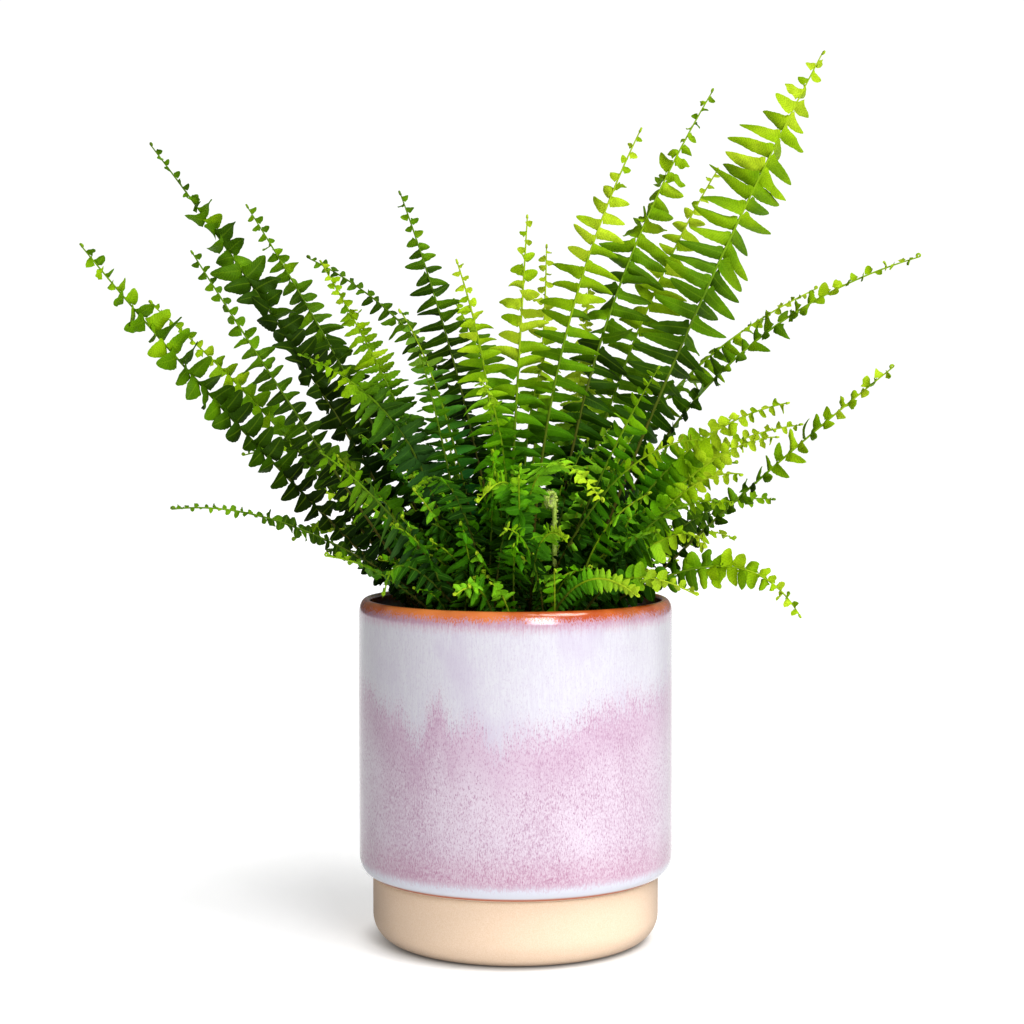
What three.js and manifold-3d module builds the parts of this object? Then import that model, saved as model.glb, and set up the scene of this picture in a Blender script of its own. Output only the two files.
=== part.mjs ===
// A Boston fern in a glazed pot. Millimetres, +Z up, the origin in the middle of the pot's underside.
// The pot is a plain cylinder on a narrower foot. It is filled with compost, and a clump of short
// rhizomes, the crown, sits in the middle of it. Every frond and every young curled frond stands
// in a hole of its own in the crown.
import * as THREE from 'three';
import { mergeVertices } from 'three/addons/utils/BufferGeometryUtils.js';
import Module from 'manifold-3d';

const wasm = await Module();
wasm.setup();

// Pot
const POT_RADIUS = 70;
const POT_HEIGHT = 153;
const POT_WALL = 5;
const POT_FLOOR = 10;
const POT_INNER_ROUNDING = 8;
const POT_WAIST_TOP = 48;
const POT_WAIST_BOTTOM = 36;
const POT_SIDES = 52;
const FOOT_RADIUS = 64;
const FOOT_HEIGHT = 30;
const FOOT_ROUNDING = 12;
const GLAZE_ROUNDING = 10;
const GLAZE_EDGE_DEG = -62;
const ARC_STEPS = 2;
const LIP_STEPS = 4;

// Compost and crown, with the radii of the rings that carry the relief as shares of the whole.
// Both have the same sides, so the gap between them is even.
const GAP = 0.3;
const SOIL_TOP = 139;
const SOIL_RELIEF = 0.9;
const SOIL_RINGS = [0.91, 0.82];
const BED_SIDES = 27;
const CROWN_RADIUS = 46;
const CROWN_BASE = 126;
const CROWN_RISE = 6;
const CROWN_RELIEF = 0.8;
const CROWN_RINGS = [1, 0.86, 0.61, 0.3, 0];
const LUMPS = { x: 4.1, y: 3.7, slant: 6.3, phase: 1.3 };

// Places on the crown, counted from the middle outwards on a sunflower spiral
const PLACE_SPACING = 5.6;
const GOLDEN_ANGLE = Math.PI * (3 - Math.sqrt(5));

// Stalks and ribs
const STALK_WIDTH = 1.6;
const STALK_THICKNESS = 1.4;
const STALK_DEPTH = 7;
const STALK_LIFT = 1.2;
const STALK_SHARE = 0.2;
const RIB_WIDTH = 1.3;
const RIB_THICKNESS = 1.2;
const TIP_SHARE = 0.03;

// Leaflets: their pitch grows with their length, and they crowd a little towards the tip
const BLADE_THICKNESS = 0.6;
const PITCH_BASE = 6.6;
const PITCH_PER_LENGTH = 0.28;
const CROWDING = 0.15;
const FEWEST_PAIRS = 5;
const LEAFLET_SWEEP = 0.12;
const LEAFLET_DROOP = -0.12;
const POINTED_BELOW = 11;
const POINTED_TIP = [1, 0.4];
const BLUNT_TIP = [[0.8, 0.02], [1, 0.5]];
const BASE_LEAFLET = 0.6;
const WIDENING = 1;
const TAPER = 3;
const TAPER_POWER = 0.75;
const SMALLEST_LEAFLET = 0.16;

// Room between leaflets, and the sizes and turns a leaflet tries, in radians, until it is clear
const CLEARANCE = 1.25;
const OWN_STATIONS = 5;
const RIB_LEAD = 4;
const LEAFLET_SCALES = [1, 0.82, 0.65, 0.5];
const LEAFLET_TURNS = [0, 0.2, -0.2, 0.4, -0.4, 0.62, -0.62, 0.85, -0.85];

// Young curled fronds
const CROZIER_RADIUS = 1.3;
const CROZIER_COIL = 4.2;
const CROZIER_SIDES = 7;
const CROZIER_STEPS = 20;
const CROZIER_ARCS = 8;
const CROZIER_ARC_DEG = 36;
const CROZIER_CLOSING = 0.06;
const CROZIER_MARKS = 16;

// Colour and roughness
const LOOKS = {
  pot: [0xdcc6da, 0.2],
  soil: [0x2c2118, 0.95],
  crown: [0x4a3b22, 0.9],
  crozier: [0x9fb46a, 0.6],
};
const DARK_GREEN = new THREE.Color(0x1f4a12);
const BRIGHT_GREEN = new THREE.Color(0x9cc02c);
const LEAF_ROUGHNESS = 0.5;

// Each frond: its name, its place on the crown, the middle of its way and its tip as x, y, z,
// the length of its longest leaflets, the bearing in degrees that the upper side of its blade
// faces where it leaves the crown (-90 faces the front), and how bright its green is, 0 to 1.
const FRONDS = [
  ['right_tall', 21, [80, 30, 275], [145, 65, 405], 24, -65, 0.6],
  ['right_dark', 8, [40, 40, 270], [95, 85, 390], 18, -100, 0.4],
  ['right_arch', 3, [20, 5, 260], [55, -5, 360], 19, -90, 0.65],
  ['centre_pale', 1, [0, -10, 235], [5, -30, 320], 16, -95, 0.85],
  ['left_long', 46, [-115, -30, 225], [-180, -65, 305], 14, -55, 0.45],
  ['left_high', 30, [-95, 25, 255], [-170, 50, 360], 15, -50, 0.15],
  ['right_wide', 29, [90, 25, 250], [180, 5, 305], 13, -155, 0.4],
  ['mid_dark', 6, [-25, 40, 245], [-55, 75, 340], 13, -100, 0.12],
  ['left_inner', 22, [-75, 50, 245], [-130, 90, 335], 12, -85, 0.3],
  ['left_slim', 38, [-90, -10, 225], [-140, -25, 305], 10, -85, 0.15],
  ['right_back', 24, [55, 70, 265], [100, 110, 355], 17, -100, 0.7],
  ['right_rise', 55, [100, -15, 200], [160, -45, 255], 10, -155, 0.55],
  ['right_low', 39, [85, -40, 170], [120, -55, 150], 10, -130, 0.6],
  ['mid_light', 7, [-10, -15, 230], [-25, -45, 300], 13, -85, 0.75],
  ['left_pale', 51, [-100, 15, 220], [-165, 15, 285], 10, -50, 0.6],
  ['left_curved', 14, [-30, 55, 245], [-100, 85, 310], 9, -75, 0.1],
  ['left_young', 9, [-50, 25, 230], [-90, 40, 305], 10, -85, 0.6],
  ['right_droop', 16, [65, 55, 235], [145, 80, 295], 13, -140, 0.6],
  ['right_round', 26, [65, -25, 210], [115, -50, 240], 10, -100, 0.6],
  ['left_bright', 25, [-45, -30, 220], [-90, -65, 260], 11, -70, 0.6],
  ['centre_slim', 19, [10, 45, 230], [15, 80, 315], 11, -90, 0.85],
  ['left_level', 33, [-90, -40, 185], [-145, -50, 195], 7, -10, 0.35],
  ['right_small', 34, [75, 20, 205], [130, 20, 230], 9, -100, 0.55],
  ['right_pale', 13, [75, -5, 205], [115, -15, 225], 9, -100, 0.65],
  ['right_slim', 42, [80, 30, 185], [120, 40, 195], 7, -100, 0.2],
  ['right_twin', 47, [65, -35, 195], [95, -55, 210], 9, -95, 0.6],
  ['right_soft', 31, [60, -40, 180], [80, -60, 180], 9, -95, 0.65],
  ['blue_green', 4, [-30, 0, 230], [-50, -30, 280], 11, -95, 0.35],
  ['young_stem', 11, [25, 50, 220], [35, 70, 295], 9, -90, 0.95],
  ['front_right', 10, [40, -55, 205], [75, -90, 225], 9, -140, 0.3],
  ['front_left', 20, [-55, -55, 195], [-80, -85, 220], 9, -30, 0.3],
  ['front_curl', 2, [10, -45, 210], [35, -85, 200], 9, 120, 0.9],
  ['front_mid', 36, [0, -55, 200], [-15, -90, 200], 9, 115, 0.35],
  ['front_deep', 28, [-25, -50, 200], [-40, -85, 205], 9, 70, 0.25],
  ['front_olive', 23, [10, -60, 180], [20, -90, 185], 8, 65, 0.4],
  ['rim_front', 44, [30, -55, 165], [50, -70, 160], 8, 55, 0.85],
  ['rim_left', 49, [-15, -50, 160], [-25, -65, 160], 8, 130, 0.75],
  ['rim_dark', 41, [-45, -45, 170], [-55, -60, 160], 8, 90, 0.2],
  ['rim_right', 52, [45, -50, 165], [75, -65, 160], 8, 80, 0.55],
  ['left_short', 54, [-55, -40, 165], [-80, -50, 175], 7, 40, 0.35],
  ['inner_left', 12, [-30, -30, 215], [-40, -55, 260], 9, -100, 0.25],
  ['inner_mid', 0, [5, 20, 220], [15, 15, 265], 11, -90, 0.4],
  ['inner_right', 5, [40, -30, 215], [60, -60, 255], 10, -110, 0.35],
  ['inner_deep', 15, [-5, -35, 215], [-15, -65, 250], 10, -90, 0.5],
  ['back_high', 27, [-10, 55, 230], [-30, 105, 290], 15, -90, 0.3],
  ['back_right', 32, [25, 70, 220], [50, 125, 255], 15, -110, 0.35],
  ['back_left', 35, [-50, 65, 210], [-95, 110, 240], 14, -60, 0.3],
  ['back_wide', 37, [60, 70, 200], [110, 110, 210], 14, -130, 0.4],
  ['back_far', 56, [-75, 45, 205], [-130, 70, 215], 13, -40, 0.3],
  ['back_low', 53, [10, 75, 180], [15, 125, 170], 13, -90, 0.45],
  ['back_fall', 48, [-35, 75, 180], [-65, 120, 165], 12, -65, 0.4],
  ['back_drop', 45, [45, 75, 175], [80, 115, 160], 12, -120, 0.5],
  ['back_side', 43, [-75, 40, 180], [-105, 60, 175], 11, -30, 0.35],
  ['back_edge', 50, [70, 50, 175], [105, 70, 175], 11, -140, 0.45],
];

// Young curled fronds: the place on the crown, how high the stem rises from it and the bearing
// in degrees that it curls to
const CROZIERS = [
  [18, 54, -120],
  [17, 34, 160],
];

const DEG = Math.PI / 180;

function lumps(x, y, size) {
  const wave = Math.sin(x / LUMPS.x + LUMPS.phase) * Math.cos(y / LUMPS.y);
  return (size * (wave + Math.sin((x - y) / LUMPS.slant))) / 2;
}

function crownHeight(x, y) {
  const share = Math.hypot(x, y) / CROWN_RADIUS;
  return SOIL_TOP + CROWN_RISE * (1 - share * share) + lumps(x, y, CROWN_RELIEF);
}

function place(number) {
  const radius = PLACE_SPACING * Math.sqrt(number + 0.5);
  const angle = number * GOLDEN_ANGLE;
  const x = radius * Math.cos(angle);
  const y = radius * Math.sin(angle);
  return new THREE.Vector3(x, y, crownHeight(x, y));
}

// Points of an arc in the plane of a turned profile, angles in degrees from outwards to up
function arc(radius, height, rounding, from, to, steps) {
  const points = [];
  for (let i = 0; i <= steps; i += 1) {
    const angle = (from + ((to - from) * i) / steps) * DEG;
    points.push([radius + rounding * Math.cos(angle), height + rounding * Math.sin(angle)]);
  }
  return points;
}

// Only positions, with shared corners merged and triangles of no area left out
function cleaned(geometry) {
  geometry.deleteAttribute('normal');
  geometry.deleteAttribute('uv');
  const merged = mergeVertices(geometry, 1e-4);
  const index = merged.index.array;
  const kept = [];
  for (let i = 0; i < index.length; i += 3) {
    const [a, b, c] = [index[i], index[i + 1], index[i + 2]];
    if (a !== b && b !== c && c !== a) {
      kept.push(a, b, c);
    }
  }
  merged.setIndex(kept);
  return merged;
}

function turned(profile, sides) {
  const points = profile.map(([radius, height]) => new THREE.Vector2(Math.max(radius, 0), height));
  const geometry = new THREE.LatheGeometry(points, sides);
  geometry.rotateX(Math.PI / 2);
  return cleaned(geometry);
}

function toSolid(geometry) {
  const mesh = new wasm.Mesh({
    numProp: 3,
    vertProperties: new Float32Array(geometry.attributes.position.array),
    triVerts: new Uint32Array(geometry.index.array),
  });
  return new wasm.Manifold(mesh);
}

function toGeometry(solid) {
  const mesh = solid.getMesh();
  const geometry = new THREE.BufferGeometry();
  geometry.setAttribute('position', new THREE.BufferAttribute(mesh.vertProperties, 3));
  geometry.setIndex(new THREE.BufferAttribute(mesh.triVerts, 1));
  return geometry;
}

function addPart(group, name, geometry, color, roughness) {
  const material = new THREE.MeshStandardMaterial({ color, roughness, metalness: 0 });
  const mesh = new THREE.Mesh(geometry, material);
  mesh.name = name;
  group.add(mesh);
}

function potGeometry() {
  const inner = POT_RADIUS - POT_WALL;
  const lower = FOOT_RADIUS - POT_WALL;
  const lip = POT_WALL / 2;
  const floorTurn = POT_INNER_ROUNDING;
  const edgeDrop = GLAZE_ROUNDING * Math.sin(-GLAZE_EDGE_DEG * DEG);
  const glazeTurn = POT_RADIUS - GLAZE_ROUNDING;
  return turned(
    [
      [0, 0],
      ...arc(FOOT_RADIUS - FOOT_ROUNDING, FOOT_ROUNDING, FOOT_ROUNDING, -90, 0, ARC_STEPS),
      [FOOT_RADIUS, FOOT_HEIGHT],
      ...arc(glazeTurn, FOOT_HEIGHT + edgeDrop, GLAZE_ROUNDING, GLAZE_EDGE_DEG, 0, ARC_STEPS),
      ...arc(POT_RADIUS - lip, POT_HEIGHT - lip, lip, 0, 180, LIP_STEPS),
      [inner, POT_WAIST_TOP],
      [lower, POT_WAIST_BOTTOM],
      ...arc(lower - floorTurn, POT_FLOOR + floorTurn, floorTurn, 0, -90, ARC_STEPS),
      [0, POT_FLOOR],
    ],
    POT_SIDES,
  );
}

// Gives the flat top of a turned body its relief
function raiseTop(geometry, height) {
  const position = geometry.attributes.position;
  for (let i = 0; i < position.count; i += 1) {
    if (position.getZ(i) > SOIL_TOP - 1e-3) {
      position.setZ(i, height(position.getX(i), position.getY(i)));
    }
  }
}

// Compost from the pot's floor up, with a little relief on top and a recess for the crown
function soilGeometry() {
  const radius = POT_RADIUS - POT_WALL - GAP;
  const lower = FOOT_RADIUS - POT_WALL - GAP;
  const turn = POT_INNER_ROUNDING;
  const recess = CROWN_RADIUS + GAP;
  const rings = [radius, ...SOIL_RINGS.map((share) => radius * share), recess];
  const geometry = turned(
    [
      [0, POT_FLOOR + GAP],
      ...arc(lower - turn, POT_FLOOR + GAP + turn, turn, -90, 0, ARC_STEPS),
      [lower, POT_WAIST_BOTTOM + GAP / 2],
      [radius, POT_WAIST_TOP + GAP / 2],
      ...rings.map((ring) => [ring, SOIL_TOP]),
      [recess, CROWN_BASE - GAP],
      [0, CROWN_BASE - GAP],
    ],
    BED_SIDES,
  );
  raiseTop(geometry, (x, y) => SOIL_TOP + lumps(x, y, SOIL_RELIEF));
  return geometry;
}

// Low lumpy mound with a square hole for each stalk
function crownGeometry(holes) {
  const top = CROWN_RINGS.map((share) => [CROWN_RADIUS * share, SOIL_TOP]);
  const mound = turned([[0, CROWN_BASE], [CROWN_RADIUS, CROWN_BASE], ...top], BED_SIDES);
  raiseTop(mound, crownHeight);
  let solid = toSolid(mound);
  for (const { root, bearing, width, depth } of holes) {
    const box = new THREE.BoxGeometry(depth + 2 * GAP, width + 2 * GAP, 2 * (STALK_DEPTH + GAP));
    box.rotateZ(bearing);
    box.translate(root.x, root.y, root.z);
    solid = solid.subtract(toSolid(cleaned(box)));
  }
  return toGeometry(solid);
}

// The smooth arch from a root over a middle point to a tip
function archOver(root, middle, tip) {
  const control = middle.clone().multiplyScalar(2);
  control.addScaledVector(root, -0.5).addScaledVector(tip, -0.5);
  return new THREE.QuadraticBezierCurve3(root, control, tip);
}

// A frond's frame at shares of its length: middle, heading, the blade's upper and left side
function frondStations(curve, facing, shares) {
  let upper = new THREE.Vector3(Math.cos(facing * DEG), Math.sin(facing * DEG), 0);
  return shares.map((share) => {
    const heading = curve.getTangentAt(share);
    upper = upper.clone().addScaledVector(heading, -upper.dot(heading)).normalize();
    const left = new THREE.Vector3().crossVectors(upper, heading);
    return { share, middle: curve.getPointAt(share), heading, upper, left };
  });
}

// How long the leaflets are at a share of the blade's length, 0 at its base and 1 at its tip
function leafletShare(share) {
  const base = Math.min(1, BASE_LEAFLET + WIDENING * share);
  const top = Math.min(1, TAPER * (1 - share));
  return Math.max(base * top ** TAPER_POWER, SMALLEST_LEAFLET);
}

function pierces(start, end, triangle) {
  const plane = triangle.getPlane(new THREE.Plane());
  const before = plane.distanceToPoint(start);
  const after = plane.distanceToPoint(end);
  if (before * after > 0 || before === after) {
    return false;
  }
  const point = start.clone().lerp(end, before / (before - after));
  return triangle.containsPoint(point);
}

function edgesOf(triangle) {
  const { a, b, c } = triangle;
  return [new THREE.Line3(a, b), new THREE.Line3(b, c), new THREE.Line3(c, a)];
}

function trianglesNear(one, two, limit) {
  const near = new THREE.Vector3();
  const pairs = [[one, two], [two, one]];
  for (const [first, second] of pairs) {
    for (const corner of [first.a, first.b, first.c]) {
      if (second.closestPointToPoint(corner, near).distanceTo(corner) < limit) {
        return true;
      }
    }
    if (edgesOf(first).some((edge) => pierces(edge.start, edge.end, second))) {
      return true;
    }
  }
  return edgesOf(one).some((edge) =>
    edgesOf(two).some((other) => edge.distanceSqToLine3(other) < limit * limit),
  );
}

// What is already in place, as flat triangles with a box round each
class Neighbours {
  constructor() {
    this.entries = [];
  }

  add(corners, owner, station) {
    const box = new THREE.Box3().setFromPoints(corners).expandByScalar(CLEARANCE);
    const triangle = new THREE.Triangle(...corners);
    this.entries.push({ triangle, box, owner, station });
  }

  meets(corners, owner, station) {
    const box = new THREE.Box3().setFromPoints(corners);
    const triangle = new THREE.Triangle(...corners);
    return this.entries.some((entry) => {
      if (!entry.box.intersectsBox(box)) {
        return false;
      }
      if (entry.owner === owner && Math.abs(entry.station - station) < OWN_STATIONS) {
        return false;
      }
      return trianglesNear(entry.triangle, triangle, CLEARANCE);
    });
  }
}

// Room for a leaflet over the pot: above the crown, above the rim, or outside the wall
function clearOfPot(corners) {
  const shares = [0, 0.25, 0.5, 0.75, 1];
  return shares.every((u) =>
    shares.every((v) => {
      const point = corners[0].clone().multiplyScalar(1 - u);
      point.addScaledVector(corners[1], u * (1 - v));
      point.addScaledVector(corners[2], u * v);
      const radius = Math.hypot(point.x, point.y);
      if (radius > POT_RADIUS + CLEARANCE) {
        return true;
      }
      const overRim = radius > POT_RADIUS - POT_WALL - 2 * CLEARANCE;
      const floor = overRim ? POT_HEIGHT : crownHeight(point.x, point.y);
      return point.z > floor + 2 * CLEARANCE;
    }),
  );
}

// The frond as one thin sheet: corners with their thickness, and the triangles between them
class Frond {
  constructor([name, number, middle, tip, leaf, facing, tone]) {
    this.name = name;
    this.tone = tone;
    this.leaf = leaf;
    this.facing = facing;
    this.root = place(number);
    const start = this.root.clone();
    start.z += STALK_LIFT;
    this.curve = archOver(start, new THREE.Vector3(...middle), new THREE.Vector3(...tip));
    this.corners = [];
    this.triangles = [];
    this.layOut();
  }

  corner(point, upper, thickness) {
    this.corners.push({ point, upper, half: thickness / 2 });
    return this.corners.length - 1;
  }

  layOut() {
    const span = 1 - STALK_SHARE - TIP_SHARE;
    const pitch = PITCH_BASE + PITCH_PER_LENGTH * this.leaf;
    const pairs = Math.max(FEWEST_PAIRS, Math.round((span * this.curve.getLength()) / pitch));
    const last = 2 * pairs + 1;
    const stalk = [0, STALK_SHARE / 2];
    const blade = [];
    for (let i = 0; i <= last; i += 1) {
      const share = i / last;
      blade.push(STALK_SHARE + span * share * (1 + CROWDING * (1 - share)));
    }
    this.stations = frondStations(this.curve, this.facing, [...stalk, ...blade]);
    this.layStalk();
    this.layRib(stalk.length);
  }

  // The stalk stands upright in its hole, so its lowest corners lie under its first station
  layStalk() {
    const first = this.stations[0];
    const flat = new THREE.Vector3(first.upper.x, first.upper.y, 0).normalize();
    const left = new THREE.Vector3().crossVectors(flat, new THREE.Vector3(0, 0, 1));
    this.bearing = Math.atan2(flat.y, flat.x);
    this.chains = [[], []];
    for (const height of [this.root.z - STALK_DEPTH, this.root.z + STALK_LIFT]) {
      const middle = new THREE.Vector3(this.root.x, this.root.y, height);
      this.addPair(middle, flat, left);
    }
  }

  addPair(middle, upper, left) {
    [STALK_WIDTH / 2, -STALK_WIDTH / 2].forEach((offset, side) => {
      const point = middle.clone().addScaledVector(left, offset);
      this.chains[side].push(this.corner(point, upper, STALK_THICKNESS));
    });
  }

  // Leaflets sit at every second station on the left, and between those on the right
  layRib(bladeFrom) {
    this.slots = [];
    this.stations.forEach((station, i) => {
      if (i > 0 && i < bladeFrom) {
        this.addPair(station.middle, station.upper, station.left);
      } else if (i >= bladeFrom) {
        const side = (i - bladeFrom) % 2;
        const offset = (side === 0 ? RIB_WIDTH : -RIB_WIDTH) / 2;
        const point = station.middle.clone().addScaledVector(station.left, offset);
        const chain = this.chains[side];
        chain.push(this.corner(point, station.upper, RIB_THICKNESS));
        if (i >= bladeFrom + 2) {
          this.slots.push({
            side,
            near: chain[chain.length - 2],
            far: chain[chain.length - 1],
            station: this.stations[i - 1],
            order: i,
          });
        }
      }
    });
    const tip = this.stations[this.stations.length - 1];
    this.tip = this.corner(this.curve.getPointAt(1), tip.upper, BLADE_THICKNESS);
    this.layStrip();
  }

  layStrip() {
    const [left, right] = this.chains;
    for (let i = 1; i < left.length; i += 1) {
      this.triangles.push([left[i - 1], left[i], right[i - 1]]);
      this.triangles.push([right[i - 1], left[i], right[i]]);
    }
    this.triangles.push([left[left.length - 1], this.tip, right[right.length - 1]]);
  }

  sheet(triangle) {
    return triangle.map((corner) => this.corners[corner].point);
  }

  // The rib's triangles run a few ahead of the stations they lie at
  markRib(neighbours) {
    this.triangles.forEach((triangle, i) => {
      neighbours.add(this.sheet(triangle), this.name, i - RIB_LEAD);
    });
  }

  leafletLength(station) {
    return this.leaf * leafletShare((station.share - STALK_SHARE) / (1 - STALK_SHARE));
  }

  // The outer corners of a leaflet that is raised by an angle from the blade, two, or one if small
  outline(slot, raise, scale) {
    const { heading, upper, left } = slot.station;
    const near = this.corners[slot.near].point;
    const base = this.corners[slot.far].point.distanceTo(near);
    const length = this.leafletLength(slot.station);
    const reach = length * scale;
    const outward = left.clone().multiplyScalar(slot.side === 0 ? 1 : -1);
    const lifted = outward.clone().multiplyScalar(Math.cos(raise));
    lifted.addScaledVector(upper, Math.sin(raise));
    const normal = upper.clone().multiplyScalar(Math.cos(raise));
    normal.addScaledVector(outward, -Math.sin(raise));
    const shape = length < POINTED_BELOW ? [POINTED_TIP] : BLUNT_TIP;
    const outer = shape.map(([out, forward]) => {
      const point = near.clone().addScaledVector(lifted, out * reach);
      return point.addScaledVector(heading, forward * base + LEAFLET_SWEEP * out * reach);
    });
    return { outer, normal };
  }

  // Tries its sizes and turns in order, and leaves the leaflet out where none is clear
  addLeaflet(slot, neighbours) {
    const near = this.corners[slot.near].point;
    const far = this.corners[slot.far].point;
    for (const scale of LEAFLET_SCALES) {
      for (const turn of LEAFLET_TURNS) {
        const { outer, normal } = this.outline(slot, LEAFLET_DROOP + turn, scale);
        const rim = [...outer, far];
        const sheets = outer.map((point, i) => [near, point, rim[i + 1]]);
        const free = sheets.every(
          (sheet) => clearOfPot(sheet) && !neighbours.meets(sheet, this.name, slot.order),
        );
        if (free) {
          sheets.forEach((sheet) => neighbours.add(sheet, this.name, slot.order));
          this.fillLeaflet(slot, outer, normal);
          return;
        }
      }
    }
  }

  fillLeaflet(slot, outer, normal) {
    const added = outer.map((point) => this.corner(point, normal, BLADE_THICKNESS));
    const rim = [...added, slot.far];
    added.forEach((corner, i) => {
      const pair = slot.side === 0 ? [corner, rim[i + 1]] : [rim[i + 1], corner];
      this.triangles.push([slot.near, ...pair]);
    });
  }

  // The sheet's upper and lower faces, split alike, and the wall round their edge
  geometry() {
    const count = this.corners.length;
    const positions = [];
    for (const sign of [1, -1]) {
      for (const { point, upper, half } of this.corners) {
        positions.push(...point.clone().addScaledVector(upper, sign * half).toArray());
      }
    }
    const index = [];
    const edges = new Map();
    for (const [a, b, c] of this.triangles) {
      index.push(a, c, b, a + count, b + count, c + count);
      for (const [from, to] of [[a, c], [c, b], [b, a]]) {
        if (!edges.delete(`${to}_${from}`)) {
          edges.set(`${from}_${to}`, [from, to]);
        }
      }
    }
    for (const [from, to] of edges.values()) {
      index.push(to, from, from + count, to, from + count, to + count);
    }
    const geometry = new THREE.BufferGeometry();
    geometry.setAttribute('position', new THREE.Float32BufferAttribute(positions, 3));
    geometry.setIndex(index);
    return geometry;
  }
}

// A young frond: an upright stem whose top is curled up by most of a turn
class Crozier {
  constructor([number, height, bearing], order) {
    this.name = `crozier_${order + 1}`;
    this.root = place(number);
    this.bearing = bearing * DEG;
    const side = new THREE.Vector3(Math.cos(this.bearing), Math.sin(this.bearing), 0);
    const points = [0, 0.25, 0.5, 0.75, 1].map((share) => {
      const rise = this.root.z - STALK_DEPTH + (height + STALK_DEPTH) * share;
      return new THREE.Vector3(this.root.x, this.root.y, rise);
    });
    const centre = points[points.length - 1].clone().addScaledVector(side, CROZIER_COIL);
    for (let i = 1; i <= CROZIER_ARCS; i += 1) {
      const angle = Math.PI - i * CROZIER_ARC_DEG * DEG;
      const radius = CROZIER_COIL * (1 - CROZIER_CLOSING * i);
      const point = centre.clone().addScaledVector(side, radius * Math.cos(angle));
      point.z += radius * Math.sin(angle);
      points.push(point);
    }
    this.path = new THREE.CatmullRomCurve3(points);
  }

  geometry() {
    const section = new THREE.Shape();
    for (let i = 0; i < CROZIER_SIDES; i += 1) {
      const angle = (2 * Math.PI * i) / CROZIER_SIDES;
      const point = [CROZIER_RADIUS * Math.cos(angle), CROZIER_RADIUS * Math.sin(angle)];
      section[i === 0 ? 'moveTo' : 'lineTo'](...point);
    }
    return cleaned(
      new THREE.ExtrudeGeometry(section, { steps: CROZIER_STEPS, extrudePath: this.path }),
    );
  }

  mark(neighbours) {
    const ends = this.path.getPoints(CROZIER_MARKS);
    const side = new THREE.Vector3(CROZIER_RADIUS, CROZIER_RADIUS, 0);
    for (let i = 1; i <= CROZIER_MARKS; i += 1) {
      neighbours.add([ends[i - 1], ends[i], ends[i].clone().add(side)], this.name, i);
      neighbours.add([ends[i - 1], ends[i], ends[i].clone().sub(side)], this.name, i);
    }
  }
}

function holesFor(standing, width, depth) {
  return standing.map(({ root, bearing }) => ({ root, bearing, width, depth }));
}

function build() {
  const group = new THREE.Group();
  const fronds = FRONDS.map((row) => new Frond(row));
  const croziers = CROZIERS.map((row, i) => new Crozier(row, i));
  const neighbours = new Neighbours();
  fronds.forEach((frond) => frond.markRib(neighbours));
  croziers.forEach((crozier) => crozier.mark(neighbours));
  for (const frond of fronds) {
    frond.slots.forEach((slot) => frond.addLeaflet(slot, neighbours));
  }
  const holes = [
    ...holesFor(fronds, STALK_WIDTH, STALK_THICKNESS),
    ...holesFor(croziers, 2 * CROZIER_RADIUS, 2 * CROZIER_RADIUS),
  ];
  addPart(group, 'pot', potGeometry(), ...LOOKS.pot);
  addPart(group, 'soil', soilGeometry(), ...LOOKS.soil);
  addPart(group, 'crown', crownGeometry(holes), ...LOOKS.crown);
  for (const crozier of croziers) {
    addPart(group, crozier.name, crozier.geometry(), ...LOOKS.crozier);
  }
  for (const frond of fronds) {
    const green = DARK_GREEN.clone().lerp(BRIGHT_GREEN, frond.tone);
    addPart(group, `frond_${frond.name}`, frond.geometry(), green, LEAF_ROUGHNESS);
  }
  return group;
}

export default build();
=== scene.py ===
"""A Boston fern in a glazed pot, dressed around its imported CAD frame.

Metres, +Z up, the viewer at -Y. Lengths in the tables and formulas are millimetres, and a mesh is
turned into metres when it is made.
"""
import itertools
import math

import bpy
import numpy as np
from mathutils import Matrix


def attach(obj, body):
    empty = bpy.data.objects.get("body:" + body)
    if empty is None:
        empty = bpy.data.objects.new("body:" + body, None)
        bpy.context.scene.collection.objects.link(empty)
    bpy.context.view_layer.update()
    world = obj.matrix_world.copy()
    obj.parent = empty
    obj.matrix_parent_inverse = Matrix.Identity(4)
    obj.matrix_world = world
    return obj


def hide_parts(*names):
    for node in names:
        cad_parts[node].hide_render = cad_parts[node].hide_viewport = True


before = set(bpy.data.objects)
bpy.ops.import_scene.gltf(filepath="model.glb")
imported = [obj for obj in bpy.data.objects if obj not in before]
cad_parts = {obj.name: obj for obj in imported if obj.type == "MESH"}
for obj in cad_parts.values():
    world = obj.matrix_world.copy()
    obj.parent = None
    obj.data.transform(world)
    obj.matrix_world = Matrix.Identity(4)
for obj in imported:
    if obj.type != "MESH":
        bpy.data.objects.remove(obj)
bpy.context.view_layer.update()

MM = 0.001
SEED = 20

# Camera and light, fitted to the photograph's view
CAMERA_PLACE = (-1.6, -955.0, 239.0)
CAMERA_DOWN_DEG = 2.86
CAMERA_LENS = 75.23
CAMERA_SENSOR = 36.0
WORLD_LIGHT = 0.38
WORLD_FROM_TOP = 0.55
WORLD_FROM_RIGHT = 0.6
WORLD_SEEN = 1.05
SUN_PLACE = (430.0, -330.0, 1150.0)
SUN_POWER = 2.15
SUN_SPREAD_DEG = 30.0
WINDOW_PLACE = (310.0, -900.0, 540.0)
WINDOW_POWER = 7.0
WINDOW_SIZE = (0.34, 0.62)
LIT_PLACE = (0.0, 0.0, 150.0)
FLOOR_RADIUS = 4000.0
# The floor's glow, painted light, and the radii in metres between which it sets in, which paint a contact
# shadow at the pot
FLOOR_GLOW = 0.58
FLOOR_SHADOW = (0.05, 0.074)
VIEW_GAMMA = 0.85

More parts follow.
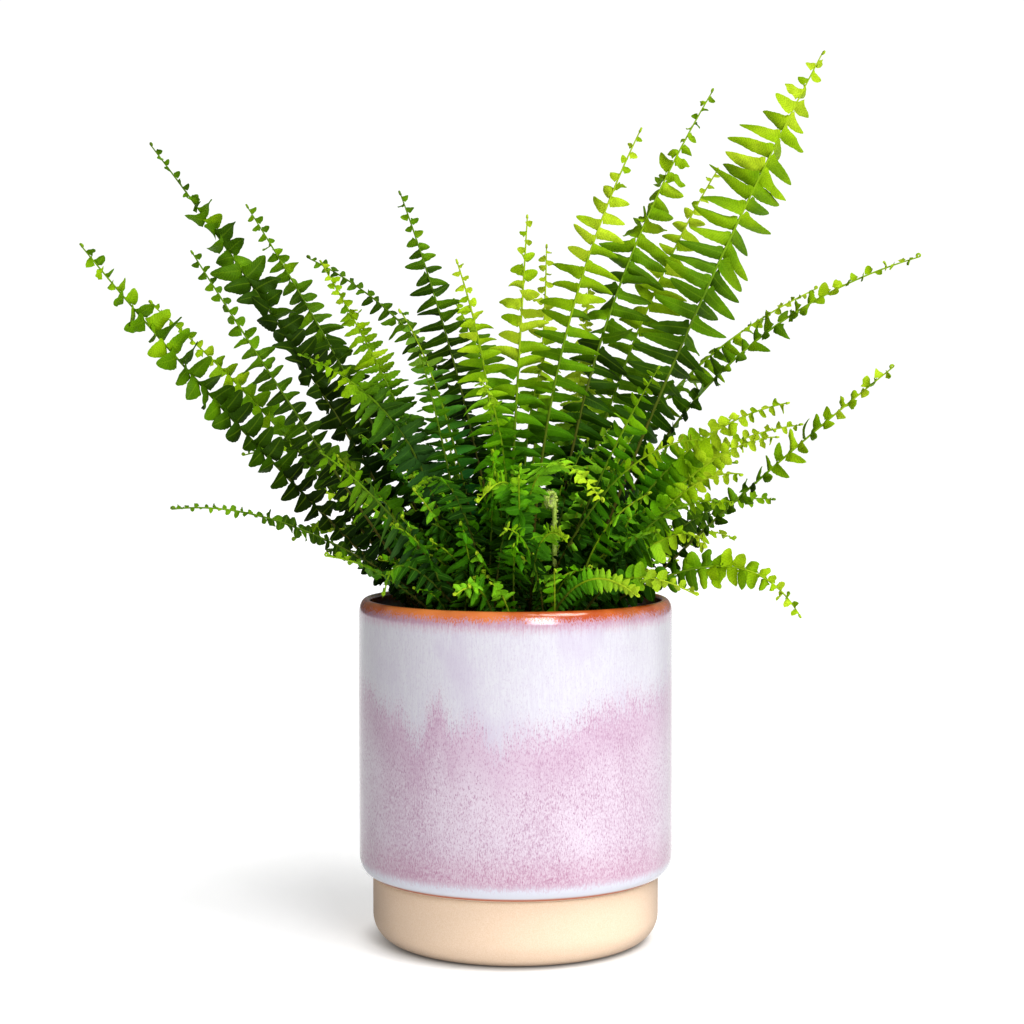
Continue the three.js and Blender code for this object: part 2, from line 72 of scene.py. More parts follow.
# Pot, as in the CAD
POT_RADIUS = 70.0
POT_HEIGHT = 153.0
POT_WALL = 5.0
POT_FLOOR = 10.0
POT_INNER_ROUNDING = 8.0
POT_WAIST_TOP = 48.0
POT_WAIST_BOTTOM = 36.0
FOOT_RADIUS = 64.0
FOOT_HEIGHT = 30.0
FOOT_ROUNDING = 12.0
GLAZE_ROUNDING = 10.0
GLAZE_EDGE_DEG = -62.0
POT_SIDES = 160
LIP_OUTSIDE = (3.4, 6.5)

# The lower edge of the white glaze: places across the pot and their heights
WHITE_EDGE = (
    (-68, 115), (-51, 108), (-43, 97), (-33, 113), (-27, 100), (-19, 104),
    (-7, 96), (2, 103), (24, 104), (43, 113), (56, 112), (70, 116),
)

# Compost and crown
SOIL_TOP = 139.0
SOIL_RELIEF = 0.9
CRUMBS = 900
MOSS_TUFTS = 70
CROWN_RADIUS = 46.0
CROWN_BASE = 126.0
CROWN_RISE = 6.0
CROWN_RELIEF = 0.8
FIBRES = 420
LUMP_X = 4.1
LUMP_Y = 3.7
LUMP_SLANT = 6.3
LUMP_PHASE = 1.3
BED_SIDES = 120
GAP = 0.3

# Places on the crown, on a sunflower spiral
PLACE_SPACING = 5.6
GOLDEN_ANGLE = math.pi * (3 - math.sqrt(5))

# Stalks, ribs and leaflets
STALK_DEPTH = 6.0
STALK_LIFT = 1.2
STALK_SHARE = 0.08
TIP_SHARE = 0.006
WAY_STEPS = 160
CURL_STEPS = 9
FROND_HAIRS = 46
BLADE_THICKNESS = 0.4
BASE_LEAFLET = 0.5
WIDENING = 0.95
TAPER = 3.3
TAPER_POWER = 0.74
KNOB_LENGTH = 4.2
KNOB_SHARE = 0.07

# Sides and steps of a rib, and those of a short frond. Stations of a leaflet from one length to another
RIB_DETAIL = (7, 64)
SMALL_RIB_DETAIL = (5, 22)
LEAFLET_DETAIL = ((16, 14, 99), (10, 8, 14), (6, 6, 8), (4, 0, 6))

# Around a leaflet at a station: places across it, places in its thickness, and 1 for its lower side
ACROSS = np.array([1.0, 0.52, 0.0, -0.52, -1.0, -0.52, 0.0, 0.52])
LAYER = np.array([0.0, 0.5, 0.36, 0.5, 0.0, -0.5, -0.85, -0.5])
KIND = np.array([0.5, 0.0, 0.0, 0.0, 0.5, 1.0, 1.0, 1.0])
STALK_KIND = 2.0
HAIR = np.array([0.0, 0.0, 3.0])
FLAT = np.zeros(3)

# What a leaflet tries until it is clear of the others, and how much a point in the pot counts
TURNS = (0.0, 0.22, -0.22, 0.45, -0.45, 0.7, -0.7, 1.0, -1.0)
SCALES = (1.0, 0.84, 0.68, 0.5)
TRIAL_ALONG = np.linspace(0.12, 1.0, 9)
TRIAL_ACROSS = np.array([-0.9, 0.0, 0.9])
TRIAL_TEETH = np.zeros(9)
IN_POT = 30

# Croziers: their place on the crown, their height and the bearing in degrees that they curl to
CROZIERS = [(18, 54, -120), (17, 34, 160)]
CROZIER_COIL = 4.2
CROZIER_HAIRS = 620

# Short fronds between the stalks: how many, and how long they are
UNDERGROWTH = ((90, (24, 46)), (84, (42, 70)), (50, (62, 100)))
SMALL_HAIRS = 10

# Each frond: its name, its place on the crown, the middle of its way and its tip as x, y, z,
# the length of its longest leaflets, the bearing in degrees that the upper side of its blade
# faces where it leaves the crown, how bright its green is, and its style
FRONDS = [
    ("right_tall", 21, (80, 30, 275), (145, 65, 405), 23, -65, 0.48, "ribbon"),
    ("right_dark", 8, (40, 40, 270), (95, 85, 390), 18, -100, 0.43, "ribbon"),
    ("right_arch", 3, (20, 5, 260), (55, -5, 360), 18, -90, 0.58, "ribbon"),
    ("centre_pale", 1, (0, -10, 235), (5, -30, 320), 16, -95, 0.6, "ribbon"),
    ("left_long", 46, (-115, -30, 225), (-180, -65, 305), 13, -55, 0.24, "broad"),
    ("left_high", 30, (-95, 25, 255), (-170, 50, 360), 14, -50, 0.08, "broad"),
    ("right_wide", 29, (90, 25, 250), (180, 5, 305), 13, -155, 0.42, "oval"),
    ("mid_dark", 6, (-25, 40, 245), (-55, 75, 340), 13, -100, 0.12, "ribbon"),
    ("left_inner", 22, (-75, 50, 245), (-130, 90, 335), 12, -85, 0.2, "ribbon"),
    ("left_slim", 38, (-90, -10, 225), (-140, -25, 305), 10, -85, 0.15, "ribbon"),
    ("right_back", 24, (55, 70, 265), (100, 110, 355), 17, -100, 0.56, "ribbon"),
    ("right_rise", 55, (100, -15, 200), (160, -45, 255), 10, -155, 0.5, "oval"),
    ("right_low", 39, (85, -40, 170), (120, -55, 150), 9, -130, 0.58, "oval"),
    ("mid_light", 7, (-10, -15, 230), (-25, -45, 300), 13, -85, 0.6, "ribbon"),
    ("left_pale", 51, (-100, 15, 220), (-165, 15, 285), 10, -50, 0.4, "broad"),
    ("left_curved", 14, (-30, 55, 245), (-100, 85, 310), 9, -75, 0.08, "ribbon"),
    ("left_young", 9, (-50, 25, 230), (-90, 40, 305), 10, -85, 0.38, "young"),
    ("right_droop", 16, (65, 55, 235), (145, 80, 295), 13, -140, 0.5, "ribbon"),
    ("right_round", 26, (65, -25, 210), (115, -50, 240), 9, -100, 0.56, "oval"),
    ("left_bright", 25, (-45, -30, 220), (-90, -65, 260), 12, -70, 0.25, "young"),
    ("centre_slim", 19, (10, 45, 230), (15, 80, 315), 11, -90, 0.75, "ribbon"),
    ("left_level", 33, (-90, -40, 185), (-145, -50, 195), 6, -10, 0.15, "oval"),
    ("right_small", 34, (75, 20, 205), (130, 20, 230), 9, -100, 0.55, "oval"),
    ("right_pale", 13, (75, -5, 205), (115, -15, 225), 8, -100, 0.65, "oval"),
    ("right_slim", 42, (80, 30, 185), (120, 40, 195), 7, -100, 0.2, "oval"),
    ("right_twin", 47, (65, -35, 195), (95, -55, 210), 8, -95, 0.6, "oval"),
    ("right_soft", 31, (60, -40, 180), (80, -60, 180), 8, -95, 0.62, "oval"),
    ("blue_green", 4, (-30, 0, 230), (-50, -30, 280), 11, -95, 0.55, "ribbon"),
    ("young_stem", 11, (25, 50, 220), (35, 70, 295), 9, -90, 0.95, "young"),
    ("front_right", 10, (40, -55, 205), (75, -90, 225), 8, -140, 0.4, "ribbon"),
    ("front_left", 20, (-55, -55, 195), (-80, -85, 220), 11, -30, 0.12, "ribbon"),
    ("front_curl", 2, (10, -45, 210), (35, -85, 200), 8, 120, 0.9, "young"),
    ("front_mid", 36, (0, -55, 200), (-15, -90, 200), 8, 115, 0.5, "young"),
    ("front_deep", 28, (-25, -50, 200), (-40, -85, 205), 8, 70, 0.2, "ribbon"),
    ("front_olive", 23, (10, -60, 180), (20, -90, 185), 7, 65, 0.5, "young"),
    ("rim_front", 44, (30, -55, 165), (50, -70, 160), 6, 55, 0.85, "young"),
    ("rim_left", 49, (-15, -50, 160), (-25, -65, 160), 7, 130, 0.75, "young"),
    ("rim_dark", 41, (-45, -45, 170), (-55, -60, 160), 7, 90, 0.2, "ribbon"),
    ("rim_right", 52, (45, -50, 165), (75, -65, 160), 7, 80, 0.6, "oval"),
    ("left_short", 54, (-55, -40, 165), (-80, -50, 175), 6, 40, 0.3, "oval"),
    ("inner_left", 12, (-30, -30, 215), (-40, -55, 260), 9, -100, 0.1, "ribbon"),
    ("inner_mid", 0, (5, 20, 220), (15, 15, 265), 11, -90, 0.4, "ribbon"),
    ("inner_right", 5, (40, -30, 215), (60, -60, 255), 10, -110, 0.4, "ribbon"),
    ("inner_deep", 15, (-5, -35, 215), (-15, -65, 250), 9, -90, 0.5, "young"),
    ("back_high", 27, (-10, 55, 230), (-30, 105, 290), 15, -90, 0.3, "ribbon"),
    ("back_right", 32, (25, 70, 220), (50, 125, 255), 15, -110, 0.35, "ribbon"),
    ("back_left", 35, (-50, 65, 210), (-95, 110, 240), 14, -60, 0.3, "ribbon"),
    ("back_wide", 37, (60, 70, 200), (110, 110, 210), 14, -130, 0.4, "ribbon"),
    ("back_far", 56, (-75, 45, 205), (-130, 70, 215), 13, -40, 0.3, "broad"),
    ("back_low", 53, (10, 75, 180), (15, 125, 170), 13, -90, 0.45, "ribbon"),
    ("back_fall", 48, (-35, 75, 180), (-65, 120, 165), 12, -65, 0.4, "ribbon"),
    ("back_drop", 45, (45, 75, 175), (80, 115, 160), 12, -120, 0.5, "oval"),
    ("back_side", 43, (-75, 40, 180), (-105, 60, 175), 11, -30, 0.35, "oval"),
    ("back_edge", 50, (70, 50, 175), (105, 70, 175), 11, -140, 0.45, "ribbon"),
]

# Leaflet styles: distance between leaflets of one side as a base and a share of their length,
# width as a share of that distance, teeth of the edge, how blunt the end is, how wild they lie,
# how far both sides are folded up in degrees, how far each leaflet is tilted about its own
# length, how far it points ahead at its base, and how much it sags
STYLES = {
    "ribbon": dict(
        pitch=3.4, per_length=0.225, width=0.72, teeth=0.03, blunt=2.6, wild=1.1,
        fold=-12, tilt=14, ahead=0.1, sag=0.3,
    ),
    "broad": dict(
        pitch=4.6, per_length=0.17, width=1.25, teeth=0.03, blunt=2.4, wild=1.3,
        fold=28, tilt=24, ahead=0.0, sag=0.1,
    ),
    "oval": dict(
        pitch=3.5, per_length=0.16, width=1.2, teeth=0.04, blunt=5.2, wild=1.3,
        fold=12, tilt=16, ahead=-0.05, sag=0.1,
    ),
    "young": dict(
        pitch=2.5, per_length=0.15, width=1.0, teeth=0.12, blunt=2.4, wild=1.5,
        fold=5, tilt=12, ahead=-0.05, sag=0.1,
    ),
}

# How some fronds differ from their style: also the share of their blade at its end that has only
# small round knobs, and their hue, 1 for bluer and 2 for greyer
HABITS = {
    "right_tall": dict(
        knobs=0.05, knob=6.2, fold=-24, sag=0.06, ahead=-0.02, width=0.86, taper=5.5,
        per_length=0.2,
    ),
    "right_dark": dict(knobs=0.13, fold=-20, sag=0.1, wild=2.1, width=0.82, blunt=3.4),
    "right_arch": dict(knobs=0.08, fold=-18, ahead=0.2, sag=0.4),
    "right_back": dict(ahead=0.24, sag=0.5),
    "centre_pale": dict(knobs=0.06, ahead=0.34, sag=0.7, pitch=4.2),
    "mid_light": dict(knobs=0.1, ahead=0.3, sag=0.65),
    "centre_slim": dict(ahead=0.3, sag=0.6),
    "left_long": dict(knobs=0.03, knob=6.0, fold=30, wild=1.0, ahead=0.12, taper=4.6),
    "left_high": dict(
        knobs=0.13, pitch=5.0, width=1.15, fold=30, wild=1.5, ahead=0.1, taper=5.0,
    ),
    "left_slim": dict(knobs=0.08, fold=-25, width=0.85),
    "left_pale": dict(knobs=0.12, width=1.1),
    "left_level": dict(knobs=0.25, knob=3.0, pitch=2.8),
    "left_inner": dict(knobs=0.06, wild=1.4, width=0.85),
    "left_bright": dict(hue=2, wild=1.8, width=1.3, pitch=3.2),
    "front_left": dict(hue=2, sag=0.5, width=0.8),
    "blue_green": dict(hue=1),
    "mid_dark": dict(knobs=0.05),
    "right_wide": dict(
        knobs=0.1, knob=5.4, pitch=5.2, width=0.8, blunt=2.4, fold=20, ahead=0.1,
    ),
    "right_rise": dict(
        knobs=0.1, knob=6.0, pitch=5.4, width=0.7, blunt=2.6, fold=15, ahead=0.35,
    ),
    "right_low": dict(knobs=0.1, fold=0, wild=1.4),
    "right_small": dict(knobs=0.25),
    "right_droop": dict(wild=1.6),
    "rim_front": dict(knobs=0.02, pitch=1.9, width=1.15, fold=0, wild=0.5, teeth=0.08),
}


def lumps(x, y, size):
    wave = np.sin(x / LUMP_X + LUMP_PHASE) * np.cos(y / LUMP_Y)
    return size * (wave + np.sin((x - y) / LUMP_SLANT)) / 2


def crown_height(x, y):
    share = np.hypot(x, y) / CROWN_RADIUS
    return SOIL_TOP + CROWN_RISE * (1 - share * share) + lumps(x, y, CROWN_RELIEF)


def toward(angle):
    return np.array([math.cos(angle), math.sin(angle), 0.0])


def on_crown(far, turn):
    x, y, _ = far * toward(turn)
    return np.array([x, y, float(crown_height(x, y))])


def place(number):
    return on_crown(PLACE_SPACING * math.sqrt(number + 0.5), number * GOLDEN_ANGLE)


def unit(vectors):
    return vectors / np.maximum(np.linalg.norm(vectors, axis=-1, keepdims=True), 1e-9)


def turned(one, two, angle):
    """Two axes turned in their plane, the first towards the second."""
    c, s = math.cos(angle), math.sin(angle)
    return one * c + two * s, two * c - one * s


def smoothstep(values, low, high):
    share = np.clip((values - low) / (high - low), 0, 1)
    return share * share * (3 - 2 * share)


# Meshes


def make_object(name, points, quads, triangles, material, sharp=None):
    """A smooth mesh object from millimetre points. sharp marks the corners of creased edges."""
    mesh = bpy.data.meshes.new(name)
    faces = np.asarray(quads, int).tolist() + np.asarray(triangles, int).tolist()
    mesh.from_pydata((np.asarray(points) * MM).tolist(), [], faces)
    mesh.shade_smooth()
    if sharp is not None:
        ends = np.zeros(2 * len(mesh.edges), np.int32)
        mesh.edges.foreach_get("vertices", ends)
        creased = sharp[ends.reshape(-1, 2)].all(axis=1)
        layer = mesh.attributes.new("sharp_edge", "BOOLEAN", "EDGE")
        layer.data.foreach_set("value", creased)
    mesh.materials.append(material)
    piece = bpy.data.objects.new(name, mesh)
    bpy.context.scene.collection.objects.link(piece)
    return piece


def set_attribute(piece, name, values):
    layer = piece.data.attributes.new(name, "FLOAT_VECTOR", "POINT")
    layer.data.foreach_set("vector", np.asarray(values, np.float32).ravel())


def dress(piece, slot, *nodes):
    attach(piece, "root")
    if nodes:
        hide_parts(*nodes)


class Shells:
    """Gathers closed shells, each with its two point attributes, into one mesh."""

    def __init__(self):
        self.parts = [[] for _ in range(6)]
        self.count = 0

    def add(self, points, quads, triangles, blade, leaf, sharp=False):
        points = points.reshape(-1, 3)
        number = len(points)
        quads = np.asarray(quads, int).reshape(-1, 4) + self.count
        triangles = np.asarray(triangles, int).reshape(-1, 3) + self.count
        marks = [np.broadcast_to(mark, (number, 3)) for mark in (blade, leaf)]
        added = (points, quads, triangles, *marks, np.broadcast_to(sharp, number))
        for held, values in zip(self.parts, added):
            held.append(values)
        self.count += number

    def build(self, name, material):
        points, quads, triangles, blade, leaf, sharp = map(np.concatenate, self.parts)
        piece = make_object(name, points, quads, triangles, material, sharp)
        set_attribute(piece, "blade", blade)
        set_attribute(piece, "leaf", leaf)
        return piece


def closed_grid(rows, columns):
    """Faces of a closed skin: rings of corners in turn, then a corner for each end."""
    row, column = np.meshgrid(np.arange(rows - 1) * columns, np.arange(columns), indexing="ij")
    after = (column + 1) % columns
    quads = np.stack([row + column, row + after, row + columns + after, row + columns + column], -1)
    side, last = np.arange(columns), (rows - 1) * columns
    start = np.stack([np.full(columns, last + columns), (side + 1) % columns, side], -1)
    end = np.stack([np.full(columns, last + columns + 1), last + side, last + (side + 1) % columns], -1)
    return quads.reshape(-1, 4), np.concatenate([start, end])


def tube(path, radii, sides, across, shells, blade, leaf):
    """A closed tapering tube along path. across is a direction that the path never runs along."""
    heading = unit(np.gradient(path, axis=0))
    one = unit(np.cross(heading, across))
    two = np.cross(heading, one)
    turn = math.tau * np.arange(sides) / sides
    ring = np.cos(turn)[None, :, None] * one[:, None] + np.sin(turn)[None, :, None] * two[:, None]
    rings = path[:, None] + ring * np.asarray(radii)[:, None, None]
    points = np.concatenate([rings.reshape(-1, 3), path[:1], path[-1:]])
    if blade.ndim == 2:
        marks = (blade, leaf)
        blade, leaf = (np.concatenate([np.repeat(m, sides, axis=0), m[:1], m[-1:]]) for m in marks)
    shells.add(points, *closed_grid(len(path), sides), blade, leaf)


def spikes(roots, tips, radius, shells, blade, leaf):
    """Thin three-sided hairs, from roots to tips."""
    heading = unit(tips - roots)
    other = np.where(np.abs(heading[:, 2:]) > 0.8, [1.0, 0.0, 0.0], [0.0, 0.0, 1.0])
    one = unit(np.cross(heading, other))
    two = np.cross(heading, one)
    turns = (0.0, math.tau / 3, 4 * math.pi / 3)
    corners = [roots + radius * (math.cos(turn) * one + math.sin(turn) * two) for turn in turns]
    points = np.stack([*corners, tips], axis=1)
    base = 4 * np.arange(len(roots))[:, None, None]
    triangles = base + np.array([[0, 1, 3], [1, 2, 3], [2, 0, 3], [0, 2, 1]])
    shells.add(points, [], triangles, blade, leaf)


# Fronds


def arch_over(root, middle, tip):
    """Even stations on the smooth arch from a root over a middle point to a tip."""
    control = 2 * middle - (root + tip) / 2
    t = np.linspace(0, 1, 4 * WAY_STEPS)[:, None]
    fine = (1 - t) ** 2 * root + 2 * t * (1 - t) * control + t * t * tip
    steps = np.linalg.norm(np.diff(fine, axis=0), axis=1)
    far = np.concatenate([[0], np.cumsum(steps)])
    even = np.linspace(0, far[-1], WAY_STEPS)
    points = np.stack([np.interp(even, far, fine[:, i]) for i in range(3)], axis=1)
    return points, far[-1]


def upper_sides(headings, facing):
    """The direction that the blade's upper side faces at each station."""
    upper = toward(math.radians(facing))
    uppers = []
    for heading in headings:
        upper = unit(upper - upper.dot(heading) * heading)
        uppers.append(upper)
    return np.array(uppers)


def make_way(root, start, middle, tip, facing, leaf, tone, habit):
    """What a frond grows along and how: its stations, their axes, and its leaflets' habit."""
    points, length = arch_over(start, middle, tip)
    headings = unit(np.gradient(points, axis=0))
    return {
        "root": root, "points": points, "headings": headings, "length": length,
        "uppers": upper_sides(headings, facing), "leaf": leaf, "tone": tone,
        "habit": {"knobs": KNOB_SHARE, "knob": KNOB_LENGTH, "hue": 0, "taper": TAPER, **habit},
    }


class Room:
    """Which small cells of space are taken, by which frond and at which of its leaflets."""

    CELL = 2.2
    OWN_NEAR = 6

    def __init__(self):
        self.cells = {}

    def keys(self, points):
        cell = np.floor(points / self.CELL).astype(np.int64) + 1000
        return (cell[:, 0] * 4000000 + cell[:, 1] * 2000 + cell[:, 2]).tolist()

    def clashes(self, points, owner, order):
        held = filter(None, map(self.cells.get, self.keys(points)))
        return sum(other != owner or abs(number - order) > self.OWN_NEAR for other, number in held)

    def take(self, points, owner, order):
        self.cells.update(dict.fromkeys(self.keys(points), (owner, order)))


def inside_pot(points):
    """How many points lie in the pot's wall, or in the compost or crown."""
    radius = np.hypot(points[:, 0], points[:, 1])
    over_rim = radius > POT_RADIUS - POT_WALL - 1.5
    floor = np.where(over_rim, POT_HEIGHT, crown_height(points[:, 0], points[:, 1]))
    return int(np.sum((radius < POT_RADIUS + 0.8) & (points[:, 2] < floor + 1.0)))


def outline(u, blunt):
    """Half widths of a leaflet at shares of its length: on the side of the tip, and of the base."""
    body = (1 - u**blunt) ** 0.62 * (1 - 0.16 * u) * np.minimum(1, u / 0.03) ** 0.4
    lobe = np.exp(-(((u - 0.07) / 0.08) ** 2))
    return body * (0.82 + 0.34 * lobe), body * (1.12 - 0.06 * lobe)


def leaflet_points(rows, u, across, layer, teeth, blunt):
    """Points of leaflets: rows times stations along times places across."""
    u = u[None, :, None]
    t = across[None, None, :]
    cell = {name: values.reshape(len(values), 1, 1, *values.shape[1:]) for name, values in rows.items()}
    length, angle = cell["length"], cell["twist"] * u
    c, s = np.cos(angle), np.sin(angle)
    half = np.where(t > 0, *outline(u, blunt)) * cell["width"] / 2
    half = half * (1 + teeth[None, :, None] * np.abs(t))
    wave = cell["wave"] * np.sin(math.tau * 1.6 * u + cell["phase"] + 1.7 * (t > 0)) * np.abs(t)
    raised = (cell["cup"] * t * t + wave) * half
    thick = layer[None, None, :] * BLADE_THICKNESS
    out = length * (u - 0.35 * cell["droop"] ** 2 * u**3)
    side = length * cell["sweep"] * u**2 + t * half * c - raised * s - thick * s
    up = length * cell["droop"] * u**2 + t * half * s + raised * c + thick * c
    points = cell["base"] + out[..., None] * cell["out"]
    points = points + side[..., None] * cell["side"] + up[..., None] * cell["up"]
    return points - (length * cell["sag"] * u**2)[..., None] * np.array([0.0, 0.0, 1.0])


def leaflet_shells(rows, stations, shells, style):
    """Adds closed leaflets with the given number of stations."""
    count, sides = len(rows["length"]), len(ACROSS)
    linear = np.arange(1, stations + 1) / (stations + 1)
    rounded = 0.5 * (1 - np.cos(math.pi * linear))
    u = 0.4 * linear + 0.6 * rounded
    zigzag = np.where(np.arange(stations) % 2 == 0, 1.0, -1.0) * smoothstep(1 - u, 0.0, 0.12)
    body = leaflet_points(rows, u, ACROSS, LAYER, style["teeth"] * zigzag, style["blunt"])
    middle = np.zeros(1)
    ends = leaflet_points(rows, np.array([0.0, 1.0]), middle, middle, np.zeros(2), style["blunt"])
    ring = sides * stations
    points = np.concatenate([body.reshape(count, ring, 3), ends.reshape(count, 2, 3)], axis=1)
    start = (ring + 2) * np.arange(count)[:, None, None]
    flip = (rows["hand"] < 0)[:, None, None]
    faces = [np.where(flip, face[None, :, ::-1], face) + start for face in closed_grid(stations, sides)]
    blade = np.zeros((count, ring + 2, 3))
    blade[:, :ring] = np.stack([np.repeat(u, sides), np.tile(ACROSS, stations), np.tile(KIND, stations)], -1)
    blade[:, ring:] = [[0.0, 0.0, 0.5], [1.0, 0.0, 0.5]]
    blade[..., 0] *= rows["length"][:, None] / 10
    chance = np.clip(rows["phase"] / (math.tau), 0.01, 0.99) + style["hue"]
    leaf = np.stack([rows["tone"], chance, rows["share"]], -1)
    leaf = np.repeat(leaf[:, None], ring + 2, axis=1)
    rim = np.append(np.tile(np.abs(ACROSS) == 1, stations), [True, True])
    shells.add(points, *faces, blade.reshape(-1, 3), leaf.reshape(-1, 3), np.tile(rim, count))


def stacked(rows):
    """Leaflets as one array for each of their values."""
    return {name: np.array([row[name] for row in rows], float) for name in rows[0]}


def settle(row, room, owner, order, blunt):
    """Turns and, where it must, shortens a leaflet until it is clear of what is already there."""
    best_clashes = math.inf
    for scale, turn in itertools.product(SCALES, TURNS):
        out, up = turned(row["out"], row["up"], turn)
        length, width = row["length"] * scale, row["width"] * scale**0.5
        trial = {**row, "out": out, "up": up, "length": length, "width": width}
        points = leaflet_points(stacked([trial]), TRIAL_ALONG, TRIAL_ACROSS, FLAT, TRIAL_TEETH, blunt)
        points = points.reshape(-1, 3)
        clashes = IN_POT * inside_pot(points) + room.clashes(points, owner, order)
        if clashes < best_clashes:
            best, best_clashes, best_points = trial, clashes, points
        if clashes == 0:
            break
    if best_clashes >= IN_POT:
        return None
    room.take(best_points, owner, order)
    return best


def at(way, share):
    """The frond's point, heading and upper side at a share of its length."""
    spot = share * (WAY_STEPS - 1)
    low = min(int(spot), WAY_STEPS - 2)
    mix = spot - low
    point, heading, upper = (
        (1 - mix) * way[name][low] + mix * way[name][low + 1] for name in ("points", "headings", "uppers")
    )
    heading = unit(heading)
    return point, heading, unit(upper - upper.dot(heading) * heading)


def rib_radius(share, leaf):
    thick = 0.26 + 0.014 * leaf
    return thick * (1 - share) ** 0.7 + 0.28


def leaflet_length(way, share):
    """The length of a leaflet at a share of the blade: full, tapering, then only knobs."""
    knobs, knob = way["habit"]["knobs"], way["habit"]["knob"]
    if share > 1 - knobs:
        return knob * (1.1 - 0.3 * (share - 1 + knobs) / knobs)
    share = share / (1 - 0.55 * knobs)
    full = way["leaf"] * min(1, BASE_LEAFLET + WIDENING * share)
    return max(full * min(1, way["habit"]["taper"] * (1 - share)) ** TAPER_POWER, knob)


def shade(point):
    """How far in the plant a point lies: 0 outside, 1 deep between the stalks. Leaflets there are given a
    darker tone as painted shade.
    """
    low = 1 - float(smoothstep(point[2], SOIL_TOP + 20, SOIL_TOP + 100))
    inner = 1 - float(smoothstep(np.hypot(point[0], point[1]), 45, 85))
    return low * inner


def lie(way, share, side, wild, fold, tilt, ahead, rng):
    """A leaflet's own axes: outwards, towards the frond's tip, and up from its upper face."""
    point, heading, upper = at(way, share)
    outward = np.cross(upper, heading) * side
    sweep = ahead + 0.2 * share - 0.12 + rng.normal(0, 0.1) * wild
    lift = fold + rng.normal(0, 0.17) * wild
    roll = tilt + rng.normal(0, 0.2) * wild
    out, forward = turned(outward, heading, sweep)
    out, up = turned(out, upper, lift)
    forward, up = turned(forward, up, roll)
    return point, outward, out, forward, up


def grow_leaflets(way, room, order, rng):
    """Chooses where each leaflet of a frond lies."""
    habit, leaf = way["habit"], way["leaf"]
    span = 1 - STALK_SHARE - TIP_SHARE
    pitch = habit["pitch"] + habit["per_length"] * leaf
    pairs = max(5, round(span * way["length"] / pitch))
    fold = math.radians(habit["fold"] + rng.normal(0, 4))
    tilt = math.radians(habit["tilt"])
    leaflets = []
    for i in range(2 * pairs):
        side = 1 if i % 2 == 0 else -1
        part = (i + 0.3) / (2 * pairs)
        share = STALK_SHARE + span * part
        length = leaflet_length(way, part) * rng.uniform(0.86, 1.1)
        wild = habit["wild"] * (0.8 + 0.6 * part**3)
        point, outward, out, forward, up = lie(way, share, side, wild, fold, tilt, habit["ahead"], rng)
        width = min(habit["width"] * pitch * rng.uniform(0.9, 1.08), 0.8 * length)
        row = {
            "base": point - outward * 0.1 + up * 0.12,
            "out": out, "side": forward, "up": up,
            "length": length, "width": width, "hand": -side, "share": part,
            "sweep": rng.uniform(0.02, 0.2), "droop": rng.normal(-0.08, 0.14) * wild,
            "sag": habit["sag"] * (1.2 - part) + abs(rng.normal(0, 0.08)) * wild,
            "twist": rng.normal(0, 0.4) * wild,
            "cup": rng.normal(-0.15, 0.25) * wild, "wave": abs(rng.normal(0, 0.14)) * wild,
            "phase": rng.uniform(0, math.tau),
            # painted shade: leaflets deep in the plant get a darker tone
            "tone": way["tone"] + rng.normal(0, 0.07) - 0.18 * shade(point),
        }
        if part > 1 - habit["knobs"] or length < 5:
            row["cup"], row["droop"] = rng.uniform(0.1, 0.6), rng.uniform(0.0, 0.4)
        leaflets.append(settle(row, room, order, i, habit["blunt"]))
    return [row for row in leaflets if row]


def add_rib(way, shells, rng, hairs, detail):
    """The stalk and rib with a small curl at its end, and the stalk's hairs."""
    sides, steps = detail
    share = np.linspace(0, 1, steps)
    path = np.array([at(way, s)[0] for s in share])
    point, heading, upper = at(way, 1)
    curl = rng.uniform(0.7, 1.1)
    turn = np.linspace(0.5, 5.0, CURL_STEPS)
    radius = curl * np.linspace(1, 0.55, CURL_STEPS)[:, None]
    curled = point + radius * (np.sin(turn)[:, None] * heading + (1 - np.cos(turn))[:, None] * upper)
    foot = way["root"] - [0, 0, STALK_DEPTH]
    path = np.concatenate([foot[None], path, curled])
    radii = rib_radius(share, way["leaf"])
    radii = np.concatenate([radii[:1], radii, np.linspace(0.4, 0.6, CURL_STEPS)])
    shares = np.concatenate([[0], share, np.ones(CURL_STEPS)])
    blade = np.stack([shares, np.zeros_like(shares), np.full_like(shares, STALK_KIND)], -1)
    leaf = np.stack([np.full_like(shares, way["tone"]), np.full_like(shares, 0.5), shares], -1)
    tube(path, radii, sides, way["uppers"][0] + [0.11, 0.07, 0.05], shells, blade, leaf)
    roots, tips = [], []
    for s in rng.uniform(0.0, 0.5, hairs) ** 1.3:
        point, heading, upper = at(way, s)
        angle = rng.uniform(0, math.tau)
        out = turned(upper, np.cross(upper, heading), angle)[0]
        radius = float(rib_radius(s, way["leaf"]))
        roots.append(point + out * radius * 0.7)
        tips.append(point + out * (radius + rng.uniform(0.8, 2.0)) + heading * rng.uniform(-0.4, 1.2))
    spikes(np.array(roots), np.array(tips), 0.09, shells, HAIR, np.array([0.5, 0.5, 0.2]))


def fill_frond(way, order, room, shells, hairs, detail):
    rng = np.random.default_rng([SEED, order])
    rows = grow_leaflets(way, room, order, rng)
    add_rib(way, shells, rng, hairs, detail)
    for stations, low, high in LEAFLET_DETAIL:
        chosen = [row for row in rows if low <= row["length"] < high]
        if chosen:
            leaflet_shells(stacked(chosen), stations, shells, way["habit"])


